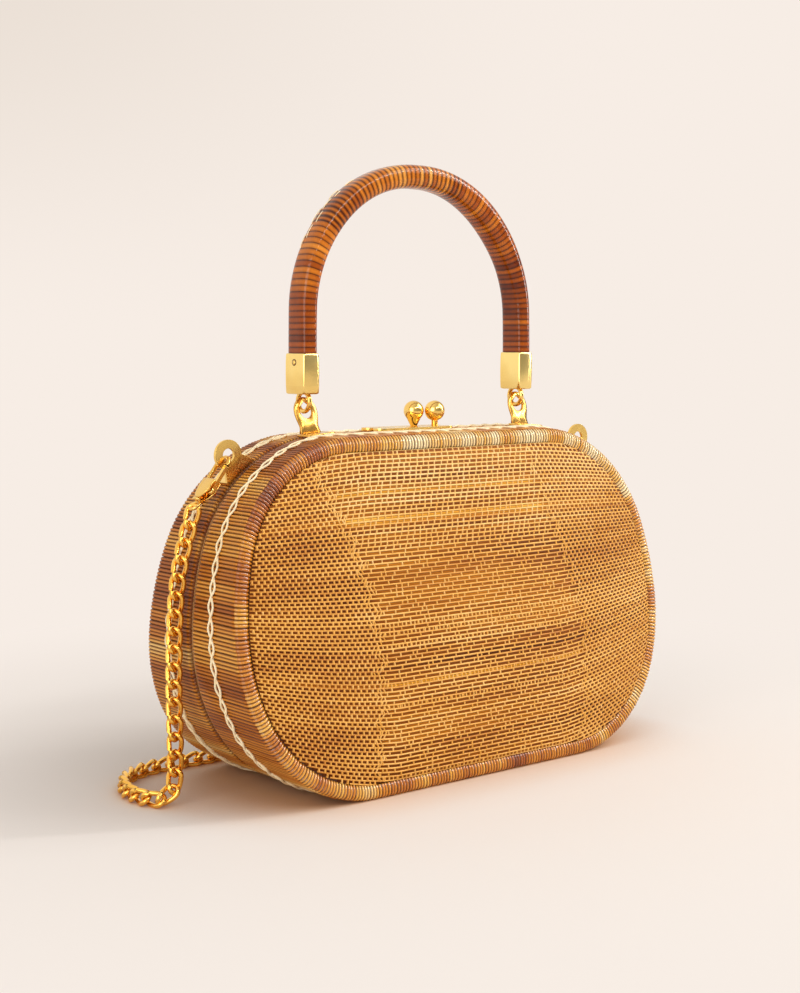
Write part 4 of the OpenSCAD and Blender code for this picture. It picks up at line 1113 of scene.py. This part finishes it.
def buildFloor():
    # matt, with a warm painted contact shadow where the floor is hemmed in near the bag, and fading into the backdrop
    # further off
    k = stageLook
    half = k["floorSize"] / 2
    mesh = bpy.data.meshes.new("floor")
    mesh.from_pydata([(-half, -half, 0), (half, -half, 0), (half, half, 0), (-half, half, 0)], [], [(0, 1, 2, 3)])
    floor = bpy.data.objects.new("floor", mesh)
    bpy.context.scene.collection.objects.link(floor)
    m = bpy.data.materials.new("paleFloor")
    m.use_nodes = True
    tree = m.node_tree
    tree.nodes.clear()
    out = addNode(tree, "ShaderNodeOutputMaterial")
    matt = addNode(tree, "ShaderNodeBsdfDiffuse")
    near = addNode(tree, "ShaderNodeAmbientOcclusion", samples=k["contactSamples"], Distance=k["contactReach"])
    tones = ramp(tree, near.outputs["AO"], zip(k["contactStops"], (k["contactShadow"], k["floor"])))
    link(tree, tones, matt.inputs["Color"])
    glow = addNode(tree, "ShaderNodeEmission", Strength=1.0, Color=solid(k["pale"]))
    far = addNode(tree, "ShaderNodeVectorMath", operation="LENGTH")
    link(tree, addNode(tree, "ShaderNodeTexCoord").outputs["Object"], far.inputs[0])
    fade = spread(tree, far.outputs["Value"], 0.0, 1.0, *k["fade"], "SMOOTHSTEP")
    path = addNode(tree, "ShaderNodeLightPath")
    seen = mathNode(tree, "MAXIMUM", path.outputs["Is Camera Ray"], path.outputs["Is Glossy Ray"])
    seen = mathNode(tree, "MAXIMUM", seen, path.outputs["Is Transmission Ray"])
    mix = mixShaders(tree, mathNode(tree, "MULTIPLY", fade, seen), matt.outputs[0], glow.outputs[0])
    link(tree, mix, out.inputs["Surface"])
    mesh.materials.append(m)


def buildWorld():
    k = stageLook
    world = bpy.data.worlds.new("studio")
    bpy.context.scene.world = world
    world.use_nodes = True
    tree = world.node_tree
    tree.nodes.clear()
    out = addNode(tree, "ShaderNodeOutputWorld")
    lit = addNode(tree, "ShaderNodeBackground", Strength=k["worldLight"], Color=solid(k["worldColour"]))
    # painted shade on the backdrop: it is a little dimmer at the upper left, and not at the horizon
    pale = addNode(tree, "ShaderNodeBackground", Strength=1.0)
    left = spread(tree, towards(tree, k["dimSide"]), 0.0, 1.0, *k["dimFrom"], "SMOOTHSTEP")
    upper = spread(tree, towards(tree, (0.0, 0.0, 1.0)), 0.0, 1.0, *k["dimHeights"], "SMOOTHSTEP")
    dim = mathNode(tree, "MULTIPLY", left, upper)
    link(tree, mixColour(tree, dim, k["pale"], k["dimmer"]), pale.inputs["Color"])
    # polished brass sees a brighter room behind and a dimmer one in front
    room = addNode(tree, "ShaderNodeBackground", Color=solid(k["room"]))
    behind = spread(tree, towards(tree, k["roomBehind"]), *k["roomLight"], *k["roomFrom"], "SMOOTHSTEP")
    link(tree, behind, room.inputs["Strength"])
    path = addNode(tree, "ShaderNodeLightPath")
    gloss = mixShaders(tree, path.outputs["Is Glossy Ray"], lit.outputs[0], room.outputs[0])
    mix = mixShaders(tree, path.outputs["Is Camera Ray"], gloss, pale.outputs[0])
    link(tree, mix, out.inputs["Surface"])


def areaLight(name, place, target, size, power, colour):
    data = bpy.data.lights.new(name, "AREA")
    data.shape = "RECTANGLE"
    data.size, data.size_y = size
    data.energy = power
    data.color = colour
    obj = bpy.data.objects.new(name, data)
    bpy.context.scene.collection.objects.link(obj)
    obj.location = place
    obj.rotation_euler = (Vector(target) - Vector(place)).to_track_quat("-Z", "Y").to_euler()


buildFloor()
buildWorld()
for name, look in lights.items():
    areaLight(name, **look)

# camera at the photograph's angle
view = {
    "place": (-0.3893, -0.4632, 0.1552), "yaw": 39.37, "pitch": 5.39, "lens": 59.49, "sensor": 36.0, "clipStart": 0.01,
}
camData = bpy.data.cameras.new("camera")
camData.sensor_fit = "AUTO"
camData.sensor_width = view["sensor"]
camData.lens = view["lens"]
camData.clip_start = view["clipStart"]
cam = bpy.data.objects.new("camera", camData)
bpy.context.scene.collection.objects.link(cam)
yaw, pitch = math.radians(view["yaw"]), math.radians(view["pitch"])
forward = Vector((math.sin(yaw) * math.cos(pitch), math.cos(yaw) * math.cos(pitch), -math.sin(pitch)))
right = Vector((math.cos(yaw), -math.sin(yaw), 0.0))
up = right.cross(forward)
turned = Matrix((right, up, -forward)).transposed().to_4x4()
turned.translation = Vector(view["place"])
cam.matrix_world = turned
bpy.context.scene.camera = cam
bpy.context.scene.view_settings.view_transform = "Standard"
print("stage set")
